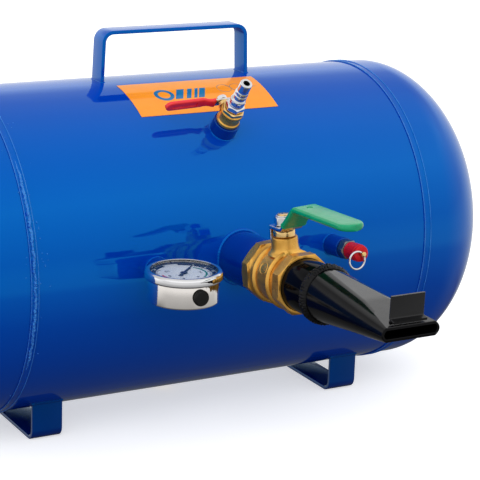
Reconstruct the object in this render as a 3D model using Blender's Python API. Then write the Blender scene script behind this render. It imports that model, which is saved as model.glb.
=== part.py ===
"""Portable air receiver tank with a quick-opening blast nozzle.

Units are metres, +Z is up, +X runs along the tank, and the nozzle points to -Y.
The origin is on the floor, under the centre of the whole object.
Every fitting is modelled in its own frame: local +Z points away from the tank,
local +Y points up, and z = 0 is on the tank's axis.
"""
import math

import bmesh
import bpy
from mathutils import Matrix, Vector

# ---------------------------------------------------------------- driving sizes
GAP = 0.0003                 # clearance between pieces that touch

TANK_RADIUS = 0.127          # outer radius of the shell
TANK_WALL = 0.003
SEAM_X = 0.1706              # girth seams, measured from the middle of the tank
HEAD_SKIRT = 0.0187          # straight part of each dished head
HEAD_DEPTH = 0.0756          # dished part of each head
BEAD_HEIGHT = 0.0012         # girth weld standing out of the shell
BEAD_WIDTH = 0.0064
TANK_STEPS = 48

AXIS_HEIGHT = 0.139          # tank axis above the floor
FOOT_X = 0.1346
FOOT_WIDTH = 0.025
FOOT_HALF_DEPTH = 0.0675
STRAP_THICKNESS = 0.003
FOOT_BEND = 0.0075

HANDLE_HALF_SPAN = 0.0643
HANDLE_WIDTH = 0.017
HANDLE_CLEARANCE = 0.037     # under the grip, over the top of the tank
HANDLE_LEAN = math.radians(2.5)
HANDLE_BEND = 0.008

LABEL_LEFT = -0.057
LABEL_RIGHT = 0.063
LABEL_ANGLES = (8.6, 30.2)   # degrees forward of the top of the tank
LABEL_THICKNESS = 0.0003

OUTLET_X = -0.0005
OUTLET_RISE = 0.0033
OUTLET_TILT = math.radians(2.8)
OUTLET_ROLL = math.radians(4.0)
STEM_REACH = 0.193           # main valve stem, from the tank's axis
MOUTH_REACH = 0.354          # nozzle mouth, from the tank's axis
PIPE_RADIUS = 0.0197
VALVE_FLAT = 0.02175         # half the size across the flats of the octagons
MAIN_BALL = 0.0125
MAIN_BORE = 0.0085

FILL_X = 0.005
FILL_TILT = math.radians(51.0)
FILL_ROLL = math.radians(3.0)
FILL_STEM_REACH = 0.144
FILL_TIP_REACH = 0.182
FILL_BALL = 0.0062
FILL_BORE = 0.0038

GAUGE_X = -0.073
GAUGE_REACH = 0.170          # gauge centre, in front of the tank's axis
GAUGE_RISE = 0.008           # gauge connection, above the tank's axis
CASE_RADIUS = 0.026
CASE_BOTTOM = -0.0103        # from the connection's height
CASE_TOP = 0.0107
BEZEL_RADIUS = 0.0287
BEZEL_TOP = 0.0130

SAFETY_X = 0.080
SAFETY_TILT = math.radians(5.0)
EYE_REACH = 0.1716           # pull ring eye, from the tank's axis
RING_RADIUS = 0.0068         # to the middle of the ring's wire
RING_WIRE = 0.0008
RING_ROLL = math.radians(-52.0)

FRONT_REACH = (MOUTH_REACH * math.cos(OUTLET_TILT)
               + 0.005 * math.sin(OUTLET_TILT))
AXIS_Y = (FRONT_REACH - TANK_RADIUS - BEAD_HEIGHT) / 2

# part colours: base colour, roughness, metallic
BLUE_PAINT = ("blue_paint", (0.01, 0.12, 0.52), 0.15, 0.0)
BLACK_PAINT = ("black_paint", (0.006, 0.006, 0.01), 0.2, 0.0)
ORANGE_LABEL = ("orange_label", (1.0, 0.33, 0.02), 0.4, 0.0)
BRASS = ("brass", (0.62, 0.38, 0.13), 0.35, 1.0)
CHROME = ("chrome", (0.8, 0.8, 0.82), 0.1, 1.0)
STEEL = ("steel", (0.55, 0.55, 0.56), 0.3, 1.0)
GREEN_SLEEVE = ("green_sleeve", (0.02, 0.42, 0.16), 0.3, 0.0)
RED_SLEEVE = ("red_sleeve", (0.6, 0.02, 0.03), 0.3, 0.0)
RED_ANODISED = ("red_anodised", (0.65, 0.01, 0.02), 0.25, 0.6)
PTFE = ("ptfe", (0.85, 0.85, 0.83), 0.5, 0.0)
RUBBER = ("rubber", (0.01, 0.01, 0.01), 0.7, 0.0)
DIAL_WHITE = ("dial_white", (0.85, 0.85, 0.84), 0.5, 0.0)
NEEDLE_BLACK = ("needle_black", (0.01, 0.01, 0.012), 0.4, 0.0)
GLASS = ("glass", (0.9, 0.93, 0.94), 0.03, 0.0)

# frames for straps: path along local X, height along local Z, width along local Y
STRAP_ALONG_FLOW = Matrix(((0, 1, 0), (0, 0, 1), (1, 0, 0))).to_4x4()
STRAP_ACROSS_FLOW = Matrix(((-1, 0, 0), (0, 0, 1), (0, 1, 0))).to_4x4()
TURN_UP = Matrix.Rotation(-math.pi / 2, 4, "X")      # local Z of a turned piece to +Y
TURN_ALONG_X = Matrix.Rotation(math.pi / 2, 4, "Y")  # local Z of a turned piece to +X


# ---------------------------------------------------------------- tools
def clear_scene():
    for obj in list(bpy.data.objects):
        bpy.data.objects.remove(obj, do_unlink=True)


def material(finish):
    name, colour, roughness, metallic = finish
    mat = bpy.data.materials.get(name)
    if mat is None:
        mat = bpy.data.materials.new(name)
        mat.use_nodes = True
        shader = mat.node_tree.nodes["Principled BSDF"]
        shader.inputs["Base Color"].default_value = (*colour, 1.0)
        shader.inputs["Roughness"].default_value = roughness
        shader.inputs["Metallic"].default_value = metallic
    return mat


def empty(name, matrix, parent=None):
    obj = bpy.data.objects.new(name, None)
    bpy.context.scene.collection.objects.link(obj)
    obj.empty_display_size = 0.02
    obj.parent = parent
    obj.matrix_local = matrix
    return obj


def piece(name, bm, finish, parent=None, matrix=None):
    """Turn a bmesh into a named object with its own material."""
    bmesh.ops.recalc_face_normals(bm, faces=bm.faces)
    mesh = bpy.data.meshes.new(name)
    bm.to_mesh(mesh)
    bm.free()
    obj = bpy.data.objects.new(name, mesh)
    bpy.context.scene.collection.objects.link(obj)
    mesh.materials.append(material(finish))
    mesh.shade_smooth()
    mesh.set_sharp_from_angle(angle=math.radians(30))
    obj.parent = parent
    obj.matrix_local = matrix if matrix is not None else Matrix()
    return obj


def guide(name, bm, parent=None, matrix=None):
    """A cutter or a shape to join: the finished model leaves it out."""
    obj = piece(name, bm, STEEL, parent, matrix)
    obj.hide_render = True
    obj.display_type = "WIRE"
    return obj


def boolean(obj, other, operation):
    mod = obj.modifiers.new(other.name, "BOOLEAN")
    mod.operation = operation
    mod.solver = "EXACT"
    mod.object = other


def at(x=0.0, y=0.0, z=0.0):
    return Matrix.Translation((x, y, z))


def fitting_frame(x, rise, tilt, roll):
    """Frame of a fitting that leaves the tank forwards, tilted up by tilt."""
    place = Matrix.Translation((x, AXIS_Y, AXIS_HEIGHT + rise))
    return place @ Matrix.Rotation(math.pi / 2 - tilt, 4, "X") @ Matrix.Rotation(roll, 4, "Z")


def turned(profile, steps=18, closed=True, flats=(), turn=0.0):
    """Spin a profile of (radius, height) round local Z.

    A closed profile makes a ring. An open one starts and ends on the axis.
    flats lists (sides, low, high, smallest radius): the outer surface between
    those heights becomes a prism with that many sides.
    """
    bm = bmesh.new()
    verts = [bm.verts.new((radius, 0.0, height)) for radius, height in profile]
    edges = [bm.edges.new(pair) for pair in zip(verts, verts[1:])]
    if closed:
        edges.append(bm.edges.new((verts[-1], verts[0])))
    bmesh.ops.spin(bm, geom=verts + edges, cent=(0, 0, 0), axis=(0, 0, 1),
                   angle=2 * math.pi, steps=steps)
    bmesh.ops.remove_doubles(bm, verts=bm.verts, dist=1e-6)
    for sides, low, high, smallest in flats:
        shape_flats(bm, sides, low, high, smallest, turn)
    return bm


def shape_flats(bm, sides, low, high, smallest, turn):
    half = math.pi / sides
    for vert in bm.verts:
        radius = math.hypot(vert.co.x, vert.co.y)
        if low - 1e-7 <= vert.co.z <= high + 1e-7 and radius > smallest:
            angle = (math.atan2(vert.co.y, vert.co.x) - turn) % (2 * half) - half
            vert.co.x /= math.cos(angle)
            vert.co.y /= math.cos(angle)


def arc(centre, radius, start, end, count):
    """Points on an arc, angles in degrees."""
    points = []
    for i in range(count):
        angle = math.radians(start + (end - start) * i / (count - 1))
        points.append((centre[0] + radius * math.cos(angle), centre[1] + radius * math.sin(angle)))
    return points


def loft(rings, closed):
    """Skin a list of point rings; a closed loft joins the last ring to the first."""
    bm = bmesh.new()
    columns = [[bm.verts.new(point) for point in ring] for ring in rings]
    pairs = list(zip(columns, columns[1:]))
    if closed:
        pairs.append((columns[-1], columns[0]))
    else:
        bm.faces.new(columns[0])
        bm.faces.new(columns[-1])
    count = len(rings[0])
    for low, high in pairs:
        for i in range(count):
            j = (i + 1) % count
            bm.faces.new((low[i], low[j], high[j], high[i]))
    return bm


def strap(path, thickness):
    """Flat bar along a path of (along, height, half width) points."""
    points = [Vector((along, height)) for along, height, _ in path]
    rings = []
    for i, (along, height, half_width) in enumerate(path):
        before = points[max(i - 1, 0)]
        after = points[min(i + 1, len(points) - 1)]
        ahead = (points[i] - before).normalized() + (after - points[i]).normalized()
        ahead.normalize()
        slant = (after - points[i]).normalized() if i < len(points) - 1 else ahead
        stretch = thickness / 2 / max(ahead.dot(slant), 0.5)
        side = Vector((-ahead.y, ahead.x)) * stretch
        low = points[i] - side
        high = points[i] + side
        rings.append([(low.x, -half_width, low.y), (low.x, half_width, low.y),
                      (high.x, half_width, high.y), (high.x, -half_width, high.y)])
    return loft(rings, closed=False)


def box(size, centre):
    bm = bmesh.new()
    bmesh.ops.create_cube(bm, size=1.0)
    bmesh.ops.scale(bm, vec=size, verts=bm.verts)
    bmesh.ops.translate(bm, vec=centre, verts=bm.verts)
    return bm


def rod(radius, low, high, steps=18):
    return turned([(0, low), (radius, low), (radius, high), (0, high)], steps, closed=False)


def bent(corners, radius, half_width, count=4):
    """Round the corners of a strap's path: corners are (along, height) points."""
    path = [(*corners[0], half_width)]
    for before, corner, after in zip(corners, corners[1:], corners[2:]):
        here = Vector(corner)
        back = (Vector(before) - here).normalized()
        ahead = (Vector(after) - here).normalized()
        half = back.angle(ahead) / 2
        centre = here + (back + ahead).normalized() * radius / math.sin(half)
        start = here + back * radius / math.tan(half) - centre
        end = here + ahead * radius / math.tan(half) - centre
        sweep = start.angle_signed(end)
        for i in range(count):
            spoke = start.copy()
            spoke.rotate(Matrix.Rotation(-sweep * i / (count - 1), 2))
            path.append((*(centre + spoke), half_width))
    path.append((*corners[-1], half_width))
    return path


def round_end(path, count=5):
    """Replace a path's square end by a half-round one, seen from above."""
    along, height, half_width = path[-1]
    before = Vector(path[-2][:2])
    ahead = (Vector((along, height)) - before).normalized()
    centre = Vector((along, height)) - ahead * half_width
    path = path[:-1]
    for i in range(count):
        angle = math.radians(78) * i / (count - 1)
        point = centre + ahead * half_width * math.sin(angle)
        path.append((*point, half_width * math.cos(angle)))
    return path


# ---------------------------------------------------------------- tank
def tank_cutter(name, parent, clearance):
    """A solid the size of the shell plus a clearance, to trim what stands on it."""
    bm = rod(TANK_RADIUS + clearance, -SEAM_X, SEAM_X, TANK_STEPS)
    return guide(name, bm, parent, TURN_ALONG_X)


def tank_shell(axis):
    half = SEAM_X - GAP / 2
    inner = TANK_RADIUS - TANK_WALL
    bm = turned([(TANK_RADIUS, half), (TANK_RADIUS, -half), (inner, -half), (inner, half)],
                TANK_STEPS)
    return piece("tank_shell", bm, BLUE_PAINT, axis, TURN_ALONG_X)


def port(shell, frame, name, radius):
    """Hole in the shell for a welded socket."""
    bm = rod(radius + GAP, TANK_RADIUS - 0.012, TANK_RADIUS + 0.012, 32)
    boolean(shell, guide(name, bm, frame), "DIFFERENCE")


def tank_head(name, axis, side):
    """Dished end: a straight skirt, then a half ellipse, as a thin shell."""
    start = SEAM_X + GAP / 2
    skirt = SEAM_X + HEAD_SKIRT
    count = 7
    outer = [(TANK_RADIUS, start)]
    inner = [(TANK_RADIUS - TANK_WALL, start)]
    for i in range(count):
        angle = math.pi / 2 * i / (count - 1)
        outer.append((TANK_RADIUS * math.cos(angle), skirt + HEAD_DEPTH * math.sin(angle)))
        inner.append(((TANK_RADIUS - TANK_WALL) * math.cos(angle),
                      skirt + (HEAD_DEPTH - TANK_WALL) * math.sin(angle)))
    outer[-1] = (0.0, outer[-1][1])
    inner[-1] = (0.0, inner[-1][1])
    bm = turned(inner[::-1] + outer, TANK_STEPS, closed=False)
    return piece(name, bm, BLUE_PAINT, axis, Matrix.Rotation(side * math.pi / 2, 4, "Y"))


def seam_weld(name, axis, side):
    """Raised weld bead over a girth seam."""
    low = TANK_RADIUS + GAP
    high = TANK_RADIUS + BEAD_HEIGHT
    half = BEAD_WIDTH / 2
    bm = turned([(low, -half), (low, half), (high, half * 0.45), (high, -half * 0.45)], TANK_STEPS)
    return piece(name, bm, BLUE_PAINT, axis, TURN_ALONG_X @ at(z=side * SEAM_X))


def carry_handle(axis, cutter):
    """Flat steel strap bent into a low staple, its legs welded on the shell."""
    top = TANK_RADIUS + HANDLE_CLEARANCE + STRAP_THICKNESS / 2
    foot = TANK_RADIUS - 0.002
    shift = (top - TANK_RADIUS) * math.tan(HANDLE_LEAN)
    corners = [(-HANDLE_HALF_SPAN, foot), (shift - HANDLE_HALF_SPAN, top),
               (HANDLE_HALF_SPAN - shift, top), (HANDLE_HALF_SPAN, foot)]
    bm = strap(bent(corners, HANDLE_BEND, HANDLE_WIDTH / 2), STRAP_THICKNESS)
    obj = piece("carry_handle", bm, BLUE_PAINT, axis)
    boolean(obj, cutter, "DIFFERENCE")


def foot(name, axis, cutter, x):
    """Flat bar bent into a tray: it lies on the floor and its ends rise to the tank."""
    bottom = -AXIS_HEIGHT + STRAP_THICKNESS / 2
    side = FOOT_HALF_DEPTH - STRAP_THICKNESS / 2
    top = -0.100
    corners = [(-side, top), (-side, bottom), (side, bottom), (side, top)]
    bm = strap(bent(corners, FOOT_BEND, FOOT_WIDTH / 2), STRAP_THICKNESS)
    obj = piece(name, bm, BLUE_PAINT, axis, at(x=x) @ Matrix.Rotation(math.pi / 2, 4, "Z"))
    boolean(obj, cutter, "DIFFERENCE")


def label(axis):
    """Plain sticker that follows the shell."""
    low = TANK_RADIUS + GAP
    high = low + LABEL_THICKNESS
    count = 7
    rings = []
    for i in range(count):
        angle = math.radians(LABEL_ANGLES[0] + (LABEL_ANGLES[1] - LABEL_ANGLES[0]) * i / (count - 1))
        rings.append([(x, -radius * math.sin(angle), radius * math.cos(angle))
                      for x, radius in ((LABEL_LEFT, low), (LABEL_RIGHT, low),
                                        (LABEL_RIGHT, high), (LABEL_LEFT, high))])
    piece("label", loft(rings, closed=False), ORANGE_LABEL, axis)


def drain(axis, shell):
    """Drain socket and plug at the lowest point of the shell."""
    frame = empty("drain_frame", Matrix.Rotation(math.pi, 4, "X"), axis)
    port(shell, frame, "drain_port_cut", 0.0095)
    bung = [(0.0095, 0.1205), (0.0095, 0.1282), (0.0068, 0.1282), (0.0068, 0.1205)]
    piece("drain_bung", turned(bung, 20), BLUE_PAINT, frame)
    plug = [(0, 0.1215), (0.0065, 0.1215), (0.0065, 0.1285), (0.0070, 0.1285), (0.0070, 0.1312),
            (0.0060, 0.1320), (0, 0.1320)]
    bm = turned(plug, 18, closed=False, flats=((6, 0.1285, 0.1313, 0.0069),))
    piece("drain_plug", bm, BRASS, frame)


def tank(axis):
    shell = tank_shell(axis)
    trim = tank_cutter("trim_cut", axis, GAP)
    tank_head("head_right", axis, 1)
    tank_head("head_left", axis, -1)
    seam_weld("seam_weld_right", axis, 1)
    seam_weld("seam_weld_left", axis, -1)
    carry_handle(axis, trim)
    foot("foot_right", axis, trim, FOOT_X)
    foot("foot_left", axis, trim, -FOOT_X)
    label(axis)
    drain(axis, shell)
    return shell


# ---------------------------------------------------------------- main valve
def main_bung(frame):
    """Pipe stub welded into the shell; the valve screws on to it."""
    radius = PIPE_RADIUS + 0.0006
    bore = PIPE_RADIUS - 0.0032
    bm = turned([(radius, 0.1185), (radius, 0.1755), (bore, 0.1755), (bore, 0.1185)], 32)
    piece("main_bung", bm, BLUE_PAINT, frame)


def octagon_end(face, inward):
    """Outer profile points of an octagon end, from its face inwards."""
    return [(VALVE_FLAT - 0.0010, face), (VALVE_FLAT, face + inward * 0.0010),
            (VALVE_FLAT, face + inward * 0.0080), (VALVE_FLAT - 0.0013, face + inward * 0.0095)]


def main_valve_body(frame):
    """Cast body: rear octagon, two raised rings and the boss of the stem."""
    ring = 0.0223
    waist = 0.0206
    outer = octagon_end(0.1650, 1)
    outer += [(waist, 0.1795), (ring, 0.1805), (ring, 0.1830), (waist, 0.1845),
              (waist, 0.1990), (ring, 0.2000), (ring, 0.2030)]
    inner = [(0.0170, 0.2030), (0.0170, 0.1985), (0.0143, 0.1985), (0.0143, 0.1809),
             (0.0100, 0.1809), (0.0100, 0.1760), (0.0206, 0.1760), (0.0206, 0.1650)]
    bm = turned(outer + inner, 32, flats=((8, 0.1655, 0.1735, 0.0210),), turn=math.pi / 8)
    body = piece("main_valve_body", bm, BRASS, frame)
    boss = [(0, 0.0174), (0.0100, 0.0174), (0.0097, 0.0310), (0, 0.0310)]
    up = at(z=STEM_REACH) @ TURN_UP
    boolean(body, guide("boss_add", turned(boss, 20, closed=False), frame, up), "UNION")
    hole = [(0, 0.0120), (0.0057, 0.0120), (0.0057, 0.0160), (0.0048, 0.0160), (0.0048, 0.0240),
            (0.0070, 0.0240), (0.0070, 0.0330), (0, 0.0330)]
    boolean(body, guide("boss_cut", turned(hole, 20, closed=False), frame, up), "DIFFERENCE")


def main_valve_end(frame):
    """Screwed-in front end: it clamps the seats and holds the nozzle's pipe."""
    face = 0.2190
    outer = [(0.0167, 0.1988), (0.0167, 0.2033), (0.0206, 0.2033)] + octagon_end(face, -1)[::-1]
    inner = [(PIPE_RADIUS + GAP, face), (PIPE_RADIUS + GAP, 0.2085), (0.0100, 0.2085),
             (0.0100, 0.2051), (0.0143, 0.2051), (0.0143, 0.1988)]
    bm = turned(outer + inner, 32, flats=((8, 0.2105, 0.2185, 0.0210),))
    piece("main_valve_end", bm, BRASS, frame, Matrix.Rotation(-OUTLET_ROLL, 4, "Z"))


def bored_ball(radius, bore, count=9):
    """Closed profile of a ball with a hole through it along local Z."""
    limit = math.degrees(math.acos(bore / radius))
    return arc((0, 0), radius, -limit, limit, count)


def seat_ring(ball, bore, outer, back):
    """Seat whose cone touches the ball; local z = 0 is the ball's centre."""
    clear = ball + GAP
    inner = bore + GAP
    edge = inner + 0.6 * (ball - inner)
    return [(inner, back), (outer, back), (outer, math.sqrt(clear ** 2 - edge ** 2)),
            (edge, math.sqrt(clear ** 2 - edge ** 2)), (inner, math.sqrt(clear ** 2 - inner ** 2))]


def main_trim(frame, pivot):
    """What turns inside the main valve, and what it seals against."""
    bm = turned(bored_ball(MAIN_BALL, MAIN_BORE), 32)
    ball = piece("main_ball", bm, CHROME, pivot)
    boolean(ball, guide("ball_slot_cut", box((0.0072, 0.0072, 0.0036), (0, 0.0130, 0)), pivot),
            "DIFFERENCE")
    seat = seat_ring(MAIN_BALL, MAIN_BORE, 0.0140, 0.0118)
    centre = at(z=STEM_REACH)
    piece("main_seat_front", turned(seat, 24), PTFE, frame, centre)
    piece("main_seat_rear", turned(seat, 24), PTFE, frame, centre @ Matrix.Rotation(math.pi, 4, "X"))
    stem = [(0, 0.0130), (0.0054, 0.0130), (0.0054, 0.0155), (0.0045, 0.0155), (0.0045, 0.0478),
            (0, 0.0478)]
    bm = turned(stem, 20, closed=False)
    obj = piece("main_stem", bm, BRASS, pivot, TURN_UP)
    tang = guide("stem_tang_add", box((0.0066, 0.0034, 0.0030), (0, 0, 0.0118)), pivot, TURN_UP)
    boolean(obj, tang, "UNION")
    packing = [(0.0048, 0.0243), (0.0067, 0.0243), (0.0067, 0.0290), (0.0048, 0.0290)]
    piece("main_packing", turned(packing, 20), PTFE, frame, centre @ TURN_UP)
    nut = [(0.0048, 0.0293), (0.0067, 0.0293), (0.0067, 0.0313), (0.0078, 0.0313),
           (0.0080, 0.0318), (0.0080, 0.0352), (0.0074, 0.0362), (0.0048, 0.0362)]
    piece("main_gland_nut", turned(nut, 20), BRASS, frame, centre @ TURN_UP)


LEVER_PLATE = 0.0382         # middle of the lever's plate, above the outlet's axis
LEVER_GRIP = 0.0575          # middle of the lever's grip
LEVER_STEEL = 0.0025
LEVER_BEND = 0.0045
LEVER_HALF_WIDTH = 0.0088
LEVER_LENGTH = 0.0975        # from the stem to the tip
LEVER_CORNERS = ((0.0090, LEVER_PLATE), (0.0290, LEVER_GRIP))
SLEEVE_WALL = 0.0011


def lever_grip_path(start, length, half_width):
    """Slanting neck and flat grip with a rounded tip."""
    corners = [start, LEVER_CORNERS[1], (length, LEVER_GRIP)]
    return round_end(bent(corners, LEVER_BEND, half_width))


def main_lever(pivot):
    """Steel lever: stop tab bent down behind the stem, plate, neck and grip."""
    start = (-0.0125, LEVER_PLATE - 0.0110)
    corners = [start, (-0.0125, LEVER_PLATE), LEVER_CORNERS[0], LEVER_CORNERS[1],
               (LEVER_LENGTH, LEVER_GRIP)]
    path = round_end(bent(corners, LEVER_BEND, LEVER_HALF_WIDTH))
    narrow = 0.0050
    path = [(a, h, narrow if a < -0.0085 else w) for a, h, w in path]
    obj = piece("main_lever", strap(path, LEVER_STEEL), CHROME, pivot, STRAP_ALONG_FLOW)
    hole = guide("lever_hole_cut", rod(0.0048, 0.0340, 0.0420), pivot, TURN_UP)
    boolean(obj, hole, "DIFFERENCE")


def part_way(fraction):
    (a0, h0), (a1, h1) = LEVER_CORNERS
    return (a0 + (a1 - a0) * fraction, h0 + (h1 - h0) * fraction)


def main_lever_sleeve(pivot):
    """Dipped vinyl grip round the lever's neck and grip, open at its lower end."""
    skin = SLEEVE_WALL
    outer = lever_grip_path(part_way(0.22), LEVER_LENGTH + skin + GAP, LEVER_HALF_WIDTH + skin)
    obj = piece("main_lever_sleeve", strap(outer, LEVER_STEEL + 2 * skin), GREEN_SLEEVE, pivot,
                STRAP_ALONG_FLOW)
    inner = lever_grip_path(part_way(0.05), LEVER_LENGTH + GAP, LEVER_HALF_WIDTH + GAP)
    cut = guide("sleeve_cut", strap(inner, LEVER_STEEL + 2 * GAP), pivot, STRAP_ALONG_FLOW)
    boolean(obj, cut, "DIFFERENCE")


def hex_nut(across, bore, low, high, chamfer=0.0006):
    """Closed profile and flats of a nut with chamfered faces."""
    flat = across / 2
    profile = [(bore, low), (flat - chamfer, low), (flat, low + chamfer), (flat, high - chamfer),
               (flat - chamfer, high), (bore, high)]
    return turned(profile, 18, flats=((6, low + chamfer, high - chamfer, flat - chamfer / 2),))


def main_valve(frame, pivot):
    main_bung(frame)
    main_valve_body(frame)
    main_valve_end(frame)
    main_trim(frame, pivot)
    main_lever(pivot)
    main_lever_sleeve(pivot)
    bm = hex_nut(0.0130, 0.0048, LEVER_PLATE + LEVER_STEEL / 2 + GAP, 0.0472)
    piece("main_lever_nut", bm, CHROME, pivot, TURN_UP)


# ---------------------------------------------------------------- nozzle
BILL_START = 0.2488
BILL_KNEE = 0.3110
BILL_WALL = 0.0022
BILL_STEPS = 32


def bill_size(reach, start):
    """Half width, half thickness and side roundness of the bill at a reach."""
    share = (reach - start) / (MOUTH_REACH - start)
    width = PIPE_RADIUS + (0.0230 - PIPE_RADIUS) * share
    round_side = PIPE_RADIUS + (0.0095 - PIPE_RADIUS) * share
    knee = (BILL_KNEE - start) / (MOUTH_REACH - start)
    if share < knee:
        thick = PIPE_RADIUS + (0.0122 - PIPE_RADIUS) * share / knee
    else:
        thick = 0.0122 + (0.0050 - 0.0122) * (share - knee) / (1 - knee)
    return width, thick, round_side


def bill_ring(reach, inset):
    """Ellipse with its top and bottom pressed flat."""
    width, thick, round_side = bill_size(reach, BILL_START)
    points = []
    for i in range(BILL_STEPS):
        angle = 2 * math.pi * i / BILL_STEPS
        x = (width - inset) * math.cos(angle)
        y = (round_side - inset) * math.sin(angle)
        limit = thick - inset
        points.append((x, max(-limit, min(limit, y)), reach))
    return points


def nozzle_bill(frame):
    """Duck-bill mouth: a round pipe end pressed into a wide flat slot."""
    count = 8
    reaches = [BILL_START + (MOUTH_REACH - BILL_START) * i / (count - 1) for i in range(count)]
    reaches[4] = BILL_KNEE
    rings = [bill_ring(reach, 0.0) for reach in reaches]
    rings += [bill_ring(reach, BILL_WALL) for reach in reversed(reaches)]
    piece("nozzle_bill", loft(rings, closed=True), BLACK_PAINT, frame)


def nozzle_pipe(frame):
    inner = PIPE_RADIUS - 0.0022
    end = BILL_START - GAP
    bm = turned([(PIPE_RADIUS, 0.2088), (PIPE_RADIUS, end), (inner, end), (inner, 0.2088)], 32)
    piece("nozzle_pipe", bm, BLACK_PAINT, frame)


def nozzle_weld(frame):
    """Weld bead round the joint of pipe and bill."""
    low = PIPE_RADIUS + GAP
    middle = BILL_START - GAP / 2
    profile = [(low, middle - 0.0042), (low + 0.0018, middle - 0.0028), (low + 0.0024, middle),
               (low + 0.0018, middle + 0.0028), (low, middle + 0.0042)]
    piece("nozzle_weld", turned(profile, 32), BLACK_PAINT, frame)


def nozzle_hook(frame):
    """Bent plate behind the mouth that rests against a rim."""
    base = bill_size(MOUTH_REACH - 0.004, BILL_START)[1] + 0.0016
    corners = [(MOUTH_REACH - 0.0012, base - 0.0002), (MOUTH_REACH - 0.0062, base + 0.0012),
               (MOUTH_REACH - 0.0050, 0.0245)]
    bm = strap(bent(corners, 0.0020, 0.0133), 0.0018)
    piece("nozzle_hook", bm, BLACK_PAINT, frame, STRAP_ALONG_FLOW)


def nozzle(frame):
    nozzle_pipe(frame)
    nozzle_weld(frame)
    nozzle_bill(frame)
    nozzle_hook(frame)


# ---------------------------------------------------------------- fill valve
def fill_body(frame):
    """Small brass ball valve body: male thread, two collars and the stem's boss."""
    outer = [(0.0065, 0.1270), (0.0065, 0.1378), (0.0088, 0.1378), (0.0092, 0.1384),
             (0.0092, 0.1404), (0.0083, 0.1412), (0.0083, 0.1470), (0.0089, 0.1476),
             (0.0089, 0.1494), (0.0080, 0.1502), (0.0080, 0.1530)]
    inner = [(0.0058, 0.1530), (0.0058, 0.1500), (0.0068, 0.1500), (0.0068, 0.1385),
             (0.0040, 0.1385), (0.0040, 0.1270)]
    body = piece("fill_valve_body", turned(outer + inner, 18), BRASS, frame)
    up = at(z=FILL_STEM_REACH) @ TURN_UP
    boss = [(0, 0.0074), (0.0048, 0.0074), (0.0045, 0.0100), (0, 0.0100)]
    boolean(body, guide("fill_boss_add", turned(boss, 16, closed=False), frame, up), "UNION")
    hole = rod(0.0021, 0.0060, 0.0120, 16)
    boolean(body, guide("fill_boss_cut", hole, frame, up), "DIFFERENCE")


def fill_nipple(frame):
    """Chromed hose nipple: spigot, two hexagons and three barbs."""
    outer = [(0.0055, 0.1508), (0.0055, 0.1533), (0.0061, 0.1533), (0.0067, 0.1539),
             (0.0067, 0.1574), (0.0061, 0.1580), (0.0058, 0.1592), (0.0058, 0.1640),
             (0.0046, 0.1652), (0.0046, 0.1664), (0.0052, 0.1668), (0.0046, 0.1700),
             (0.0052, 0.1704), (0.0046, 0.1736), (0.0047, 0.1742), (0.0047, 0.1812),
             (0.0042, FILL_TIP_REACH)]
    inner = [(0.0026, FILL_TIP_REACH), (0.0026, 0.1508)]
    flats = ((6, 0.1536, 0.1577, 0.0065),)
    piece("fill_nipple", turned(outer + inner, 18, flats=flats), CHROME, frame)


def fill_trim(frame, pivot):
    bm = turned(bored_ball(FILL_BALL, FILL_BORE, 7), 20)
    ball = piece("fill_ball", bm, CHROME, pivot, TURN_ALONG_X)
    slot = guide("fill_slot_cut", box((0.0018, 0.0036, 0.0050), (0, 0.0066, 0)), pivot)
    boolean(ball, slot, "DIFFERENCE")
    seat = seat_ring(FILL_BALL, FILL_BORE, 0.0065, 0.0053)
    centre = at(z=FILL_STEM_REACH)
    piece("fill_seat_outer", turned(seat, 16), PTFE, frame, centre)
    piece("fill_seat_inner", turned(seat, 16), PTFE, frame, centre @ Matrix.Rotation(math.pi, 4, "X"))
    stem = rod(0.0018, 0.0066, 0.0186, 16)
    obj = piece("fill_stem", stem, BRASS, pivot, TURN_UP)
    tang = guide("fill_tang_add", box((0.0012, 0.0030, 0.0024), (0, 0, 0.0062)), pivot, TURN_UP)
    boolean(obj, tang, "UNION")
    bm = hex_nut(0.0084, 0.0021, 0.0103, 0.0132, 0.0004)
    piece("fill_gland_nut", bm, BRASS, frame, centre @ TURN_UP)
    bm = hex_nut(0.0074, 0.0021, 0.0151, 0.0182, 0.0005)
    piece("fill_lever_nut", bm, CHROME, pivot, TURN_UP)


FILL_PLATE = 0.01415
FILL_GRIP = 0.0158
FILL_LEVER_LENGTH = 0.0480
FILL_LEVER_STEEL = 0.0012
FILL_HALF_WIDTH = 0.0036


def fill_lever_path(start, length, half_width):
    corners = [(start, FILL_PLATE), (0.0090, FILL_PLATE), (0.0160, FILL_GRIP), (length, FILL_GRIP)]
    return round_end(bent(corners, 0.003, half_width))


def fill_lever(pivot):
    path = fill_lever_path(-0.0050, FILL_LEVER_LENGTH, FILL_HALF_WIDTH)
    obj = piece("fill_lever", strap(path, FILL_LEVER_STEEL), CHROME, pivot, STRAP_ACROSS_FLOW)
    hole = guide("fill_lever_cut", rod(0.0021, 0.0120, 0.0160, 16), pivot, TURN_UP)
    boolean(obj, hole, "DIFFERENCE")
    skin = 0.0010
    outer = fill_lever_path(0.0075, FILL_LEVER_LENGTH + skin + GAP, FILL_HALF_WIDTH + skin)
    sleeve = piece("fill_lever_sleeve", strap(outer, FILL_LEVER_STEEL + 2 * skin), RED_SLEEVE, pivot,
                   STRAP_ACROSS_FLOW)
    inner = fill_lever_path(0.0060, FILL_LEVER_LENGTH + GAP, FILL_HALF_WIDTH + GAP)
    cut = guide("fill_sleeve_cut", strap(inner, FILL_LEVER_STEEL + 2 * GAP), pivot,
                STRAP_ACROSS_FLOW)
    boolean(sleeve, cut, "DIFFERENCE")


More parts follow.
